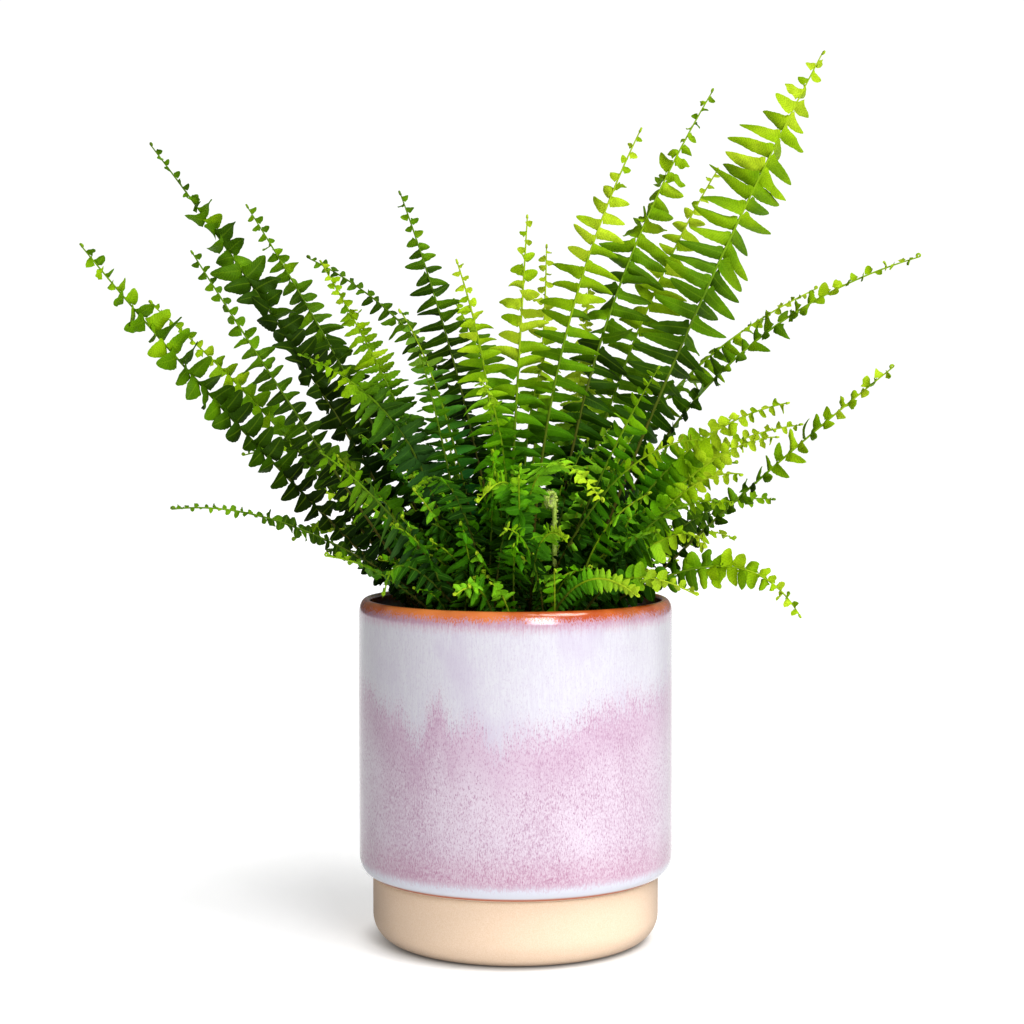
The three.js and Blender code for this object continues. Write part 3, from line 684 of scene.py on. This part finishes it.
def add_frond(row, order, room, material):
    name, number, middle, tip, leaf, facing, tone, style = row
    root = place(number)
    middle, tip = np.array(middle, float), np.array(tip, float)
    habit = {**STYLES[style], **HABITS.get(name, {})}
    way = make_way(root, root + [0, 0, STALK_LIFT], middle, tip, facing, leaf, tone, habit)
    shells = Shells()
    fill_frond(way, order, room, shells, FROND_HAIRS, RIB_DETAIL)
    dress(shells.build(f"fern_{name}", material), "leaf", f"frond_{name}")


def small_frond(rng, reach):
    """A short young frond between the stalks: anywhere on the crown, leaning outwards."""
    far, turn = 44 * rng.uniform(0.1, 1) ** 0.45, rng.uniform(-math.pi, math.pi)
    root = on_crown(far, turn)
    length = rng.uniform(*reach)
    lean = rng.uniform(0.15, 0.75) * (0.4 + far / 50)
    way_turn = turn + rng.normal(0, 0.5)
    away = toward(way_turn)
    tip = root + length * (away * math.sin(lean) + np.array([0, 0, math.cos(lean)]))
    bent = min(0.24, 0.1 + 0.2 * lean)
    rise = np.array([0, 0, math.sin(lean)]) - 0.5 * away * math.cos(lean)
    middle = (root + tip) / 2 + length * bent * rise
    facing = math.degrees(way_turn) + rng.choice([0, 180], p=[0.6, 0.4]) + rng.normal(0, 45)
    tone = rng.choice([0.15, 0.45, 0.7, 0.95], p=[0.18, 0.28, 0.28, 0.26]) + rng.normal(0, 0.06)
    # painted shade: short fronds on the left, the side away from the key light, are darker
    tone -= 0.25 * float(smoothstep(-root[0], 0, 30))
    habit = {**STYLES[str(rng.choice(["young", "oval", "ribbon"]))], "knobs": 0.08}
    return make_way(root, root, middle, tip, facing, rng.uniform(5.5, 10), tone, habit)


def hides_crozier(points):
    """True for a frond between the camera and the crozier at the front."""
    x, y, z = points.T
    return bool(np.any((np.abs(x - 18) < 9) & (y < -14) & (z > 180) & (z < 212)))


def build_undergrowth(room, material):
    """Short young fronds that fill the room between the stalks."""
    rng = np.random.default_rng([SEED, 800])
    order = 100
    for number, (count, reach) in enumerate(UNDERGROWTH):
        shells = Shells()
        for _ in range(count):
            way = small_frond(rng, reach)
            if not hides_crozier(way["points"]):
                fill_frond(way, order, room, shells, SMALL_HAIRS, SMALL_RIB_DETAIL)
                order += 1
        dress(shells.build(f"undergrowth_{number + 1}", material), "leaf")


# Materials


class Nodes:
    """Short ways to add and link the nodes of a material or a world."""

    def __init__(self, owner):
        owner.use_nodes = True
        self.owner, self.tree = owner, owner.node_tree

    def add(self, kind, inputs=(), **settings):
        node = self.tree.nodes.new("ShaderNode" + kind)
        for name, value in settings.items():
            setattr(node, name, value)
        for name, value in dict(inputs).items():
            self.put(node.inputs[name], value)
        return node

    def put(self, socket, value):
        if isinstance(value, bpy.types.NodeSocket):
            self.tree.links.new(value, socket)
        elif isinstance(value, tuple) and len(value) == 3 and socket.type == "RGBA":
            socket.default_value = (*value, 1.0)
        else:
            socket.default_value = value

    def math(self, operation, *values):
        return self.add("Math", enumerate(values), operation=operation).outputs[0]

    def plus(self, total, *others):
        for other in others:
            total = self.math("ADD", total, other)
        return total

    def times(self, one, two):
        return self.math("MULTIPLY", one, two)

    def step(self, value, low, high, to_low=0.0, to_high=1.0):
        inputs = {"Value": value, "From Min": low, "From Max": high, "To Min": to_low, "To Max": to_high}
        return self.add("MapRange", inputs, interpolation_type="SMOOTHSTEP").outputs[0]

    def mix(self, share, one, two, blend="MIX"):
        inputs = {"Factor": share, 6: one, 7: two}
        return self.add("Mix", inputs, data_type="RGBA", blend_type=blend).outputs[2]

    def layers(self, color, *coats):
        """A colour under coats of screen colours, each after its share."""
        for share, coat in coats:
            color = self.mix(share, color, srgb(*coat))
        return color

    def ramp(self, value, stops, smooth="LINEAR"):
        node = self.add("ValToRGB", {"Fac": value})
        node.color_ramp.interpolation = smooth
        elements = node.color_ramp.elements
        while len(elements) < len(stops):
            elements.new(1.0)
        for element, (position, color) in zip(elements, stops):
            element.position = position
            element.color = (*color, 1.0)
        return node.outputs["Color"]

    def split(self, vector):
        return self.add("SeparateXYZ", {"Vector": vector}).outputs

    def attribute(self, name):
        return self.split(self.add("Attribute", attribute_name=name).outputs["Vector"])

    def place(self, kind="Object"):
        return self.add("TexCoord").outputs[kind]

    def around(self):
        """How far a point is from the z axis, and its height."""
        x, y, z = self.split(self.place())
        return self.math("SQRT", self.plus(self.times(x, x), self.times(y, y))), z

    def noise(self, scale, stretch=(1.0, 1.0, 1.0), detail=2.0, rough=0.5):
        moved = self.add("Mapping", {"Vector": self.place(), "Scale": stretch}).outputs[0]
        inputs = {"Vector": moved, "Scale": scale, "Detail": detail, "Roughness": rough}
        return self.add("TexNoise", inputs).outputs["Fac"]

    def bump(self, height, distance, strength=1.0):
        return self.add("Bump", {"Height": height, "Distance": distance, "Strength": strength}).outputs[0]

    def finish(self, color, roughness, normal=None, specular=0.5):
        shader = self.tree.nodes["Principled BSDF"]
        self.put(shader.inputs["Base Color"], color)
        self.put(shader.inputs["Roughness"], roughness)
        if normal is not None:
            self.put(shader.inputs["Normal"], normal)
        shader.inputs["Specular IOR Level"].default_value = specular
        return self.owner


def srgb(red, green, blue):
    """A colour given as the screen shows it, 0 to 255, as light."""
    parts = [part / 255 for part in (red, green, blue)]
    return tuple(p / 12.92 if p <= 0.04 else ((p + 0.055) / 1.055) ** 2.4 for p in parts)


GREENS = [
    (0.0, srgb(25, 43, 1)),
    (0.3, srgb(56, 88, 3)),
    (0.6, srgb(101, 143, 6)),
    (0.85, srgb(150, 184, 14)),
    (1.0, srgb(180, 204, 44)),
]


def leaf_material():
    """Green by tone, lighter towards the frond's tip, paler below, with a midrib and side veins."""
    n = Nodes(bpy.data.materials.new("fern_leaf"))
    along, across, kind = n.attribute("blade")
    tone, second, share = n.attribute("leaf")
    chance = n.math("FRACT", second)
    bluer = n.math("COMPARE", second, 1.5)
    greyer = n.math("GREATER_THAN", second, 2.0)
    fine = n.noise(900.0)
    patches = n.step(n.noise(45.0, detail=3.0), 0.3, 0.7, -0.1, 0.1)
    youth = n.step(share, 0.1, 0.95, -0.3, 0.42)
    green = n.ramp(n.plus(tone, youth, patches, n.step(chance, 0.0, 1.0, -0.06, 0.06)), GREENS)
    vein = side_veins(n, along, across)
    rib = n.step(n.math("ABSOLUTE", across), 0.03, 0.13, 1.0, 0.0)
    top = n.layers(
        green,
        (n.step(fine, 0.35, 0.75, 0.0, 0.16), (24, 46, 2)),
        (n.times(vein, 0.16), (20, 50, 3)),
        (n.times(rib, 0.16), (150, 180, 40)),
        (n.times(bluer, 0.5), (62, 132, 66)),
        (n.times(greyer, n.step(share, 0.35, 0.85, 0.6, 0.0)), (74, 98, 50)),
    )
    below = n.layers(top, (0.22, (88, 126, 40)), (n.times(rib, 0.18), (170, 190, 90)))
    color = n.mix(n.step(kind, 0.35, 0.75), top, below)
    # painted shade: low in the plant and near its middle the green is darkened and made greener
    far, z = n.around()
    deep = n.times(n.step(z, 0.27, 0.2), n.step(far, 0.09, 0.06))
    color = n.mix(deep, color, (0.6, 1.0, 0.85), "MULTIPLY")
    stalk = n.mix(n.step(share, 0.0, 0.6), srgb(84, 72, 28), n.layers(green, (0.3, (120, 140, 50))))
    color = n.mix(n.step(kind, 1.2, 1.8), color, stalk)
    color = n.layers(color, (n.step(kind, 2.2, 2.8), (150, 130, 84)))
    rough = n.step(fine, 0.3, 0.7, 0.42, 0.56)
    height = n.plus(n.times(vein, -0.5), n.times(fine, 0.35))
    return n.finish(color, rough, n.bump(height, 0.00012, 0.9), specular=0.06)


def side_veins(n, along, across):
    """Slanting side veins, 1 on a vein and 0 between."""
    slanted = n.math("SUBTRACT", along, n.times(n.math("ABSOLUTE", across), 0.22))
    return n.step(n.math("SINE", n.times(slanted, math.tau / 0.13)), 0.55, 1.0)


def white_edge(n, x):
    """The height of the white glaze's lower edge at a place across the pot."""
    stops = [(0.5 + 0.5 * across / POT_RADIUS, (high / POT_HEIGHT,) * 3) for across, high in WHITE_EDGE]
    return n.times(n.ramp(n.plus(n.times(x, 500.0 / POT_RADIUS), 0.5), stops, "EASE"), POT_HEIGHT)


def glaze_material():
    """White over mauve reactive glaze with a rust lip, over a bare cream clay foot."""
    n = Nodes(bpy.data.materials.new("pot_glaze"))
    x, _, z = n.split(n.place())
    height = n.times(z, 1000.0)
    speck = n.noise(1900.0, (1.0, 1.0, 0.42), 3.0, 0.7)
    grain = n.noise(2600.0, (1.0, 1.0, 0.7))
    streak = n.noise(1500.0, (1.0, 1.0, 0.11), 3.0, 0.65)
    weft = n.noise(700.0, (0.25, 0.25, 1.0))
    clouds = n.noise(34.0, (1.0, 1.0, 0.7), 3.0, 0.55)
    drips = n.noise(52.0, (1.0, 1.0, 0.2), 3.0, 0.55)
    edge = n.plus(white_edge(n, x), n.step(drips, 0.3, 0.7, 2.5, -2.5))
    over = n.plus(
        n.math("SUBTRACT", height, edge),
        n.step(speck, 0.25, 0.75, -5.0, 5.0),
        n.step(streak, 0.25, 0.75, -6.0, 6.0),
    )
    low = n.times(n.step(height, 56.0, 38.0), n.step(speck, 0.3, 0.6, 0.62, 0.25))
    mauve = n.layers(
        n.mix(n.step(clouds, 0.3, 0.7), srgb(198, 184, 197), srgb(184, 162, 179)),
        (n.step(speck, 0.46, 0.64, 0.0, 0.75), (206, 198, 207)),
        (n.step(speck, 0.48, 0.3, 0.0, 0.85), (148, 102, 132)),
        (n.step(streak, 0.45, 0.7, 0.0, 0.25), (202, 193, 206)),
        (low, (168, 110, 138)),
        (n.times(n.step(over, -30.0, -8.0), 0.35), (170, 128, 158)),
    )
    white = n.layers(
        srgb(197, 196, 202),
        (n.step(speck, 0.5, 0.3, 0.0, 0.5), (172, 158, 179)),
        (n.step(streak, 0.4, 0.66, 0.0, 0.35), (180, 171, 190)),
        (n.step(weft, 0.45, 0.68, 0.0, 0.16), (192, 186, 200)),
        (n.step(clouds, 0.5, 0.3, 0.0, 0.5), (182, 171, 191)),
    )
    fuzz = n.plus(height, n.step(speck, 0.25, 0.75, -1.6, 1.6), n.step(streak, 0.25, 0.75, -1.2, 1.2))
    color = n.mix(n.step(over, -8.0, 8.0), mauve, white)
    color = n.layers(color, (n.step(fuzz, 142.4, 149.4, 0.0, 0.85), (178, 134, 154)))
    ragged = n.plus(height, n.step(speck, 0.25, 0.75, -2.2, 2.2), n.step(drips, 0.3, 0.7, 0.7, -0.7))
    rust = n.mix(n.step(clouds, 0.35, 0.65), srgb(176, 82, 34), srgb(208, 128, 70))
    color = n.mix(n.step(ragged, 148.2, 151.0), color, rust)
    color = n.layers(
        color,
        (n.step(fuzz, 38.4, 34.6), (200, 202, 212)),
        (n.step(height, 32.4, 31.2), (178, 102, 74)),
    )
    clay = n.layers(
        srgb(223, 202, 182),
        (n.step(grain, 0.3, 0.7), (216, 192, 166)),
        (n.step(speck, 0.62, 0.72, 0.0, 0.35), (208, 178, 142)),
    )
    bare = n.step(height, 30.9, 30.4)
    color = n.mix(bare, color, clay)
    # painted shade: the glaze and the foot alike are darkened towards both edges of the pot as seen, where
    # its side turns away from the view
    facing = n.add("LayerWeight", {"Blend": 0.5}).outputs["Facing"]
    color = n.mix(n.step(facing, 0.4, 0.97), color, (0.7, 0.7, 0.71), "MULTIPLY")
    glaze_relief = n.plus(n.times(speck, 0.25), n.times(clouds, 0.8))
    relief = n.add("Mix", {"Factor": bare, "A": glaze_relief, "B": n.times(grain, 1.2)}).outputs[0]
    rough = n.step(bare, 0.0, 1.0, 0.13, 0.86)
    return n.finish(color, rough, n.bump(relief, 0.0002, 0.4), specular=0.7)


def compost_material():
    n = Nodes(bpy.data.materials.new("compost"))
    fine = n.noise(700.0, detail=5.0, rough=0.7)
    damp = n.step(n.noise(90.0, detail=3.0), 0.5, 0.75, 0.0, 0.5)
    color = n.layers(srgb(30, 21, 13), (n.step(fine, 0.35, 0.65), (84, 62, 42)), (damp, (46, 52, 22)))
    return n.finish(color, 0.92, n.bump(fine, 0.0006, 0.9), specular=0.3)


def crown_material():
    n = Nodes(bpy.data.materials.new("crown_scales"))
    fine = n.noise(500.0, (1.0, 1.0, 0.5), 5.0, 0.65)
    mossy = n.step(n.noise(80.0, detail=3.0), 0.45, 0.75, 0.0, 0.55)
    color = n.layers(srgb(48, 34, 18), (n.step(fine, 0.35, 0.68), (120, 92, 52)), (mossy, (70, 74, 30)))
    return n.finish(color, 0.85, n.bump(fine, 0.0005, 0.9), specular=0.35)


def crozier_material():
    n = Nodes(bpy.data.materials.new("young_green"))
    hair = n.step(n.attribute("blade")[2], 2.2, 2.8)
    fine = n.noise(900.0, detail=3.0)
    color = n.layers(srgb(150, 178, 60), (n.step(fine, 0.35, 0.65), (188, 208, 104)), (hair, (226, 228, 176)))
    return n.finish(color, 0.6, n.bump(fine, 0.0002, 0.6), specular=0.4)


def floor_material():
    """A pale floor that glows a little, as painted light, but not in a ring at the pot, where the glow is
    left out to paint a deep contact shadow.
    """
    n = Nodes(bpy.data.materials.new("pale_floor"))
    color = n.mix(n.step(n.noise(60.0), 0.3, 0.7), (0.55, 0.55, 0.55), (0.57, 0.57, 0.57))
    shader = n.tree.nodes["Principled BSDF"]
    n.put(shader.inputs["Emission Color"], (1.0, 1.0, 1.0))
    n.put(shader.inputs["Emission Strength"], n.step(n.around()[0], *FLOOR_SHADOW, 0.0, FLOOR_GLOW))
    return n.finish(color, 0.9, specular=0.1)


# Pot, compost and crown


def arc(radius, height, rounding, start, end, steps, rise=None):
    """An arc of a profile, round, or an oval's where rise gives its other half width."""
    angles = np.radians(np.linspace(start, end, steps + 1))
    rise = rise or rounding
    return [(radius + rounding * math.cos(a), height + rise * math.sin(a)) for a in angles]


def line(one, two, steps):
    share = np.linspace(0, 1, steps + 2)[1:-1]
    return [(one[0] + (two[0] - one[0]) * s, one[1] + (two[1] - one[1]) * s) for s in share]


def revolve(profile, sides, wobble=None):
    """Points and faces of a closed body turned about the z axis. The profile ends on the axis."""
    rings = np.array(profile[1:-1])
    turn = math.tau * np.arange(sides) / sides
    radius = rings[:, :1] * np.ones(sides)
    if wobble is not None:
        radius = radius + wobble(turn[None], rings[:, 1:])
    z = np.broadcast_to(rings[:, 1:], radius.shape)
    points = np.stack([radius * np.cos(turn), radius * np.sin(turn), z], -1).reshape(-1, 3)
    ends = [(0, 0, profile[0][1]), (0, 0, profile[-1][1])]
    return np.concatenate([points, ends]), *closed_grid(len(rings), sides)


def pot_wobble(turn, height):
    """The thrown pot is not quite round, and its glaze is a little thicker near its lower edge."""
    wobble = 0.12 * np.sin(2 * turn + 0.6 + height / 60) + 0.07 * np.sin(5 * turn + height / 25)
    thick = 0.25 * np.exp(-(((height - 33.5) / 2.2) ** 2)) * (1 + 0.5 * np.sin(9 * turn + 1))
    return (wobble + thick) * smoothstep(height, 30.4, 33.0) * np.ones_like(turn)


def build_pot():
    inner = POT_RADIUS - POT_WALL
    lower = FOOT_RADIUS - POT_WALL
    glaze_bottom = FOOT_HEIGHT + GLAZE_ROUNDING * math.sin(math.radians(-GLAZE_EDGE_DEG))
    wide, high = LIP_OUTSIDE
    shoulder, crest = POT_HEIGHT - high, POT_RADIUS - wide
    fall = crest - inner
    profile = [(0, 0), (20, 0), (40, 0)]
    profile += arc(FOOT_RADIUS - FOOT_ROUNDING, FOOT_ROUNDING, FOOT_ROUNDING, -90, 0, 12)
    profile += line((FOOT_RADIUS, FOOT_ROUNDING), (FOOT_RADIUS, FOOT_HEIGHT), 8)
    profile += [(FOOT_RADIUS, FOOT_HEIGHT - 0.3), (FOOT_RADIUS - 0.5, FOOT_HEIGHT + 0.1)]
    profile += arc(POT_RADIUS - GLAZE_ROUNDING, glaze_bottom, GLAZE_ROUNDING, GLAZE_EDGE_DEG, 0, 12)
    profile += line((POT_RADIUS, glaze_bottom), (POT_RADIUS, shoulder), 40)
    profile += arc(crest, shoulder, wide, 0, 90, 11, high)
    profile += arc(crest, POT_HEIGHT - fall, fall, 90, 180, 7)[1:]
    profile += line((inner, POT_HEIGHT - fall), (inner, POT_WAIST_TOP), 14)
    profile += [(inner, POT_WAIST_TOP), (lower, POT_WAIST_BOTTOM)]
    profile += arc(lower - POT_INNER_ROUNDING, POT_FLOOR + POT_INNER_ROUNDING, POT_INNER_ROUNDING, 0, -90, 4)
    profile += [(20, POT_FLOOR), (0, POT_FLOOR)]
    shape = revolve(profile, POT_SIDES, pot_wobble)
    dress(make_object("glazed_pot", *shape, glaze_material()), "glazed_pot", "pot")


def ruggedness(x, y):
    """Crumbly relief, about -1 to 1."""
    value = np.sin(1.9 * x + 0.7 * y) * np.sin(1.3 * y - 0.9 * x + 1)
    value = value + 0.7 * np.sin(3.1 * x - 2.3 * y + 2) * np.sin(2.7 * y + 1.1 * x)
    return 0.6 * (value + 0.5 * np.sin(0.6 * x + 2) * np.cos(0.7 * y))


def compost_height(x, y):
    return SOIL_TOP + lumps(x, y, SOIL_RELIEF) + 0.7 * ruggedness(x, y)


def build_compost(material, moss):
    rng = np.random.default_rng([SEED, 900])
    radius = POT_RADIUS - POT_WALL - GAP
    lower = FOOT_RADIUS - POT_WALL - GAP
    inner = CROWN_RADIUS + GAP
    profile = [(0, POT_FLOOR + GAP), (lower - POT_INNER_ROUNDING, POT_FLOOR + GAP)]
    profile += [(lower, POT_FLOOR + POT_INNER_ROUNDING), (lower, POT_WAIST_BOTTOM), (radius, POT_WAIST_TOP)]
    profile += line((radius, SOIL_TOP), (inner, SOIL_TOP), 16)
    profile += [(inner, SOIL_TOP - 3), (inner, CROWN_BASE - GAP), (0, CROWN_BASE - GAP)]
    points, quads, triangles = revolve(profile, BED_SIDES)
    top = points[:, 2] > SOIL_TOP - 0.01
    points[top, 2] = compost_height(*points[top, :2].T) - 0.3
    dress(make_object("compost_bed", points, quads, triangles, material), "compost", "soil")
    crumbs, tufts = Shells(), Shells()
    add_crumbs(crumbs, rng, inner, radius)
    dress(crumbs.build("compost_crumbs", material), "compost")
    add_moss(tufts, rng, radius)
    dress(tufts.build("moss_tufts", moss), "leaf")


def within(xy, limit):
    """Points brought in to a radius where they lie past it."""
    far = np.maximum(np.hypot(*xy.T), 1)
    return xy * np.minimum(1, limit / far)[:, None]


def ball():
    """Corners and triangles of a 20-sided ball."""
    g = (1 + math.sqrt(5)) / 2
    corners = np.array([
        (-1, g, 0), (1, g, 0), (-1, -g, 0), (1, -g, 0), (0, -1, g), (0, 1, g),
        (0, -1, -g), (0, 1, -g), (g, 0, -1), (g, 0, 1), (-g, 0, -1), (-g, 0, 1),
    ])
    faces = np.array([
        (0, 11, 5), (0, 5, 1), (0, 1, 7), (0, 7, 10), (0, 10, 11), (1, 5, 9), (5, 11, 4),
        (11, 10, 2), (10, 7, 6), (7, 1, 8), (3, 9, 4), (3, 4, 2), (3, 2, 6), (3, 6, 8),
        (3, 8, 9), (4, 9, 5), (2, 4, 11), (6, 2, 10), (8, 6, 7), (9, 8, 1),
    ])
    return unit(corners), faces


def add_crumbs(shells, rng, inner, outer):
    corners, faces = ball()
    size = rng.uniform(0.5, 1.7, (CRUMBS, 1, 1)) * rng.uniform(0.6, 1.3, (CRUMBS, 1, 3))
    far = np.sqrt(rng.uniform((inner + 1) ** 2, (outer - 1.8) ** 2, CRUMBS))
    turn = rng.uniform(0, math.tau, CRUMBS)
    x, y = far * np.cos(turn), far * np.sin(turn)
    centre = np.stack([x, y, compost_height(x, y)], -1)[:, None]
    points = centre + corners * rng.uniform(0.75, 1.25, (CRUMBS, 12, 1)) * size
    triangles = faces + 12 * np.arange(CRUMBS)[:, None, None]
    shells.add(points, [], triangles, FLAT, FLAT)


def add_moss(shells, rng, outer):
    """Short pointed moss leaves in tufts."""
    for _ in range(MOSS_TUFTS):
        far = math.sqrt(rng.uniform((CROWN_RADIUS - 14) ** 2, (outer - 2) ** 2))
        turn = rng.uniform(-math.pi, math.pi)
        xy = (far * toward(turn))[:2] + rng.normal(0, 1.9, (int(rng.integers(12, 34)), 2))
        far = np.hypot(*xy.T)
        xy, far = xy[far < outer - 0.8], far[far < outer - 0.8]
        ground = np.where(far < CROWN_RADIUS, crown_height(*xy.T), SOIL_TOP)
        roots = np.column_stack([xy, ground - 0.5])
        lean = rng.normal(0, 0.6, (len(xy), 2))
        tips = roots + np.column_stack([lean * 2.2, rng.uniform(2.0, 4.6, len(xy))])
        tips[:, :2] = within(tips[:, :2], outer - 0.5)
        leaf = np.array([rng.uniform(0.1, 0.65), rng.uniform(), 0.2])
        spikes(roots, tips, 0.32, shells, np.array([0.3, 0.4, 0.0]), leaf)


def build_crown(material):
    rng = np.random.default_rng([SEED, 901])
    profile = [(0, CROWN_BASE), (CROWN_RADIUS, CROWN_BASE), (CROWN_RADIUS, SOIL_TOP - 2)]
    profile += [(CROWN_RADIUS * share, SOIL_TOP) for share in np.linspace(1, 0.02, 46)]
    profile += [(0, SOIL_TOP)]
    points, quads, triangles = revolve(profile, BED_SIDES)
    top = points[:, 2] > SOIL_TOP - 0.01
    x, y = points[top, :2].T
    points[top, 2] = crown_height(x, y) + 0.8 * ruggedness(0.8 * x, 0.8 * y) - 0.2
    dress(make_object("scaly_crown", points, quads, triangles, material), "rhizome", "crown")
    fibres = Shells()
    for _ in range(FIBRES):
        far = CROWN_RADIUS * math.sqrt(rng.uniform(0, 1))
        turn = rng.uniform(0, math.tau)
        xy = (far * toward(turn))[:2]
        steps = np.linspace(0, 1, 6)[:, None]
        way, bend = rng.normal(0, 1, 2), rng.normal(0, 1, 2)
        xy = within(xy + 7 * way * steps + 4 * bend * steps**2, 61)
        ground = np.maximum(crown_height(*xy.T), SOIL_TOP)
        z = ground + 0.4 + 2.2 * rng.uniform(0, 1) * np.sin(math.pi * steps[:, 0])
        path, radii = np.column_stack([xy, z]), np.linspace(0.28, 0.1, 6)
        tube(path, radii, 4, np.array([0.05, 0.03, 1.0]), fibres, HAIR, FLAT)
    dress(fibres.build("crown_fibres", material), "rhizome")


def build_crozier(order, row, material):
    """A young frond: an upright stem curled in at its top, with two rows of buds and pale hairs."""
    number, height, bearing = row
    rng = np.random.default_rng([SEED, 910, order])
    root = place(number)
    side = toward(math.radians(bearing))
    across = np.cross(side, [0.0, 0.0, 1.0])
    rise = np.linspace(-STALK_DEPTH, height, 40)
    stem = root + np.column_stack([np.zeros((40, 2)), rise])
    turn = math.pi - np.linspace(0, math.radians(430), 60)[1:]
    radius = CROZIER_COIL * np.linspace(1, 0.24, 59)
    coil = stem[-1] + CROZIER_COIL * side + (radius * np.cos(turn))[:, None] * side
    coil[:, 2] += radius * np.sin(turn)
    path = np.concatenate([stem, coil])
    radii = np.concatenate([np.linspace(1.25, 1.0, 40), np.linspace(1.0, 0.55, 59)])
    shells, leaf = Shells(), np.array([0.7, 0.5, 0.6])
    tube(path, radii, 10, across, shells, np.array([0.0, 0.0, STALK_KIND]), leaf)
    heading = unit(np.gradient(path, axis=0))
    inward = np.cross(across, heading)
    spot = rng.integers(2, len(path) - 1, CROZIER_HAIRS)
    angle = rng.uniform(0, math.tau, CROZIER_HAIRS)[:, None]
    out = np.cos(angle) * inward[spot] + np.sin(angle) * across
    roots = path[spot] + out * radii[spot, None] * 0.8
    long, ahead = rng.uniform(0.8, 1.9, (CROZIER_HAIRS, 1)), rng.uniform(0.1, 1.0, (CROZIER_HAIRS, 1))
    spikes(roots, roots + out * long + heading[spot] * ahead, 0.08, shells, HAIR, leaf)
    corners, faces = ball()
    for i, k in enumerate(range(30, 96, 3)):
        for way in (-1, 1):
            centre = path[k] + way * across * radii[k] * 0.95 + inward[k] * 0.2
            bud = centre + corners * [0.75, 0.75, 0.95] * (1 - 0.006 * i)
            shells.add(bud, [], faces, np.array([0.2, 0.5, 1.0]), leaf)
    dress(shells.build(f"curled_frond_{order + 1}", material), "young_frond", f"crozier_{order + 1}")


# Stage


def add_light(name, kind, spot, **settings):
    """Puts a light at spot so that it shines at the plant's middle."""
    data = bpy.data.lights.new(name, kind)
    for key, value in settings.items():
        setattr(data, key, value)
    light = bpy.data.objects.new(name, data)
    bpy.context.scene.collection.objects.link(light)
    light.location = np.array(spot) * MM
    x, y, z = np.array(LIT_PLACE) - spot
    light.rotation_euler = (math.pi / 2 + math.atan2(z, math.hypot(x, y)), 0, math.atan2(y, x) - math.pi / 2)


def build_stage():
    disc = [(0, -2.0), (FLOOR_RADIUS, -2.0), (FLOOR_RADIUS, 0.0), (0, 0.0)]
    floor = make_object("studio_floor", *revolve(disc, 96), floor_material())
    floor.data.shade_flat()
    world = bpy.data.worlds.new("studio")
    bpy.context.scene.world = world
    n = Nodes(world)
    x, _, z = n.split(n.place("Generated"))
    from_top, from_right = n.times(z, WORLD_FROM_TOP), n.times(x, WORLD_FROM_RIGHT)
    level = n.times(n.plus(from_top, from_right, 1 - 2 / 3 * WORLD_FROM_TOP), WORLD_LIGHT)
    seen = n.add("LightPath").outputs["Is Camera Ray"]
    strength = n.add("MapRange", {"Value": seen, "To Min": level, "To Max": WORLD_SEEN}).outputs[0]
    background = n.tree.nodes["Background"]
    n.put(background.inputs["Color"], (1.0, 1.0, 1.0))
    n.put(background.inputs["Strength"], strength)
    add_light("key", "SUN", SUN_PLACE, energy=SUN_POWER, angle=math.radians(SUN_SPREAD_DEG))
    wide, high = WINDOW_SIZE
    window = {"energy": WINDOW_POWER, "shape": "RECTANGLE", "size": wide, "size_y": high}
    add_light("window", "AREA", WINDOW_PLACE, **window)


def build_camera():
    data = bpy.data.cameras.new("camera")
    data.lens = CAMERA_LENS
    data.sensor_width = CAMERA_SENSOR
    camera = bpy.data.objects.new("camera", data)
    camera.location = np.array(CAMERA_PLACE) * MM
    camera.rotation_euler = (math.radians(90 - CAMERA_DOWN_DEG), 0, 0)
    bpy.context.scene.collection.objects.link(camera)
    bpy.context.scene.camera = camera


def main():
    build_camera()
    build_stage()
    view = bpy.context.scene.view_settings
    view.view_transform = "Standard"
    view.gamma = VIEW_GAMMA
    leaf = leaf_material()
    build_pot()
    build_compost(compost_material(), leaf)
    build_crown(crown_material())
    crozier = crozier_material()
    for order, row in enumerate(CROZIERS):
        build_crozier(order, row, crozier)
    room = Room()
    for order, row in enumerate(FRONDS):
        add_frond(row, order, room, leaf)
    build_undergrowth(room, leaf)


main()
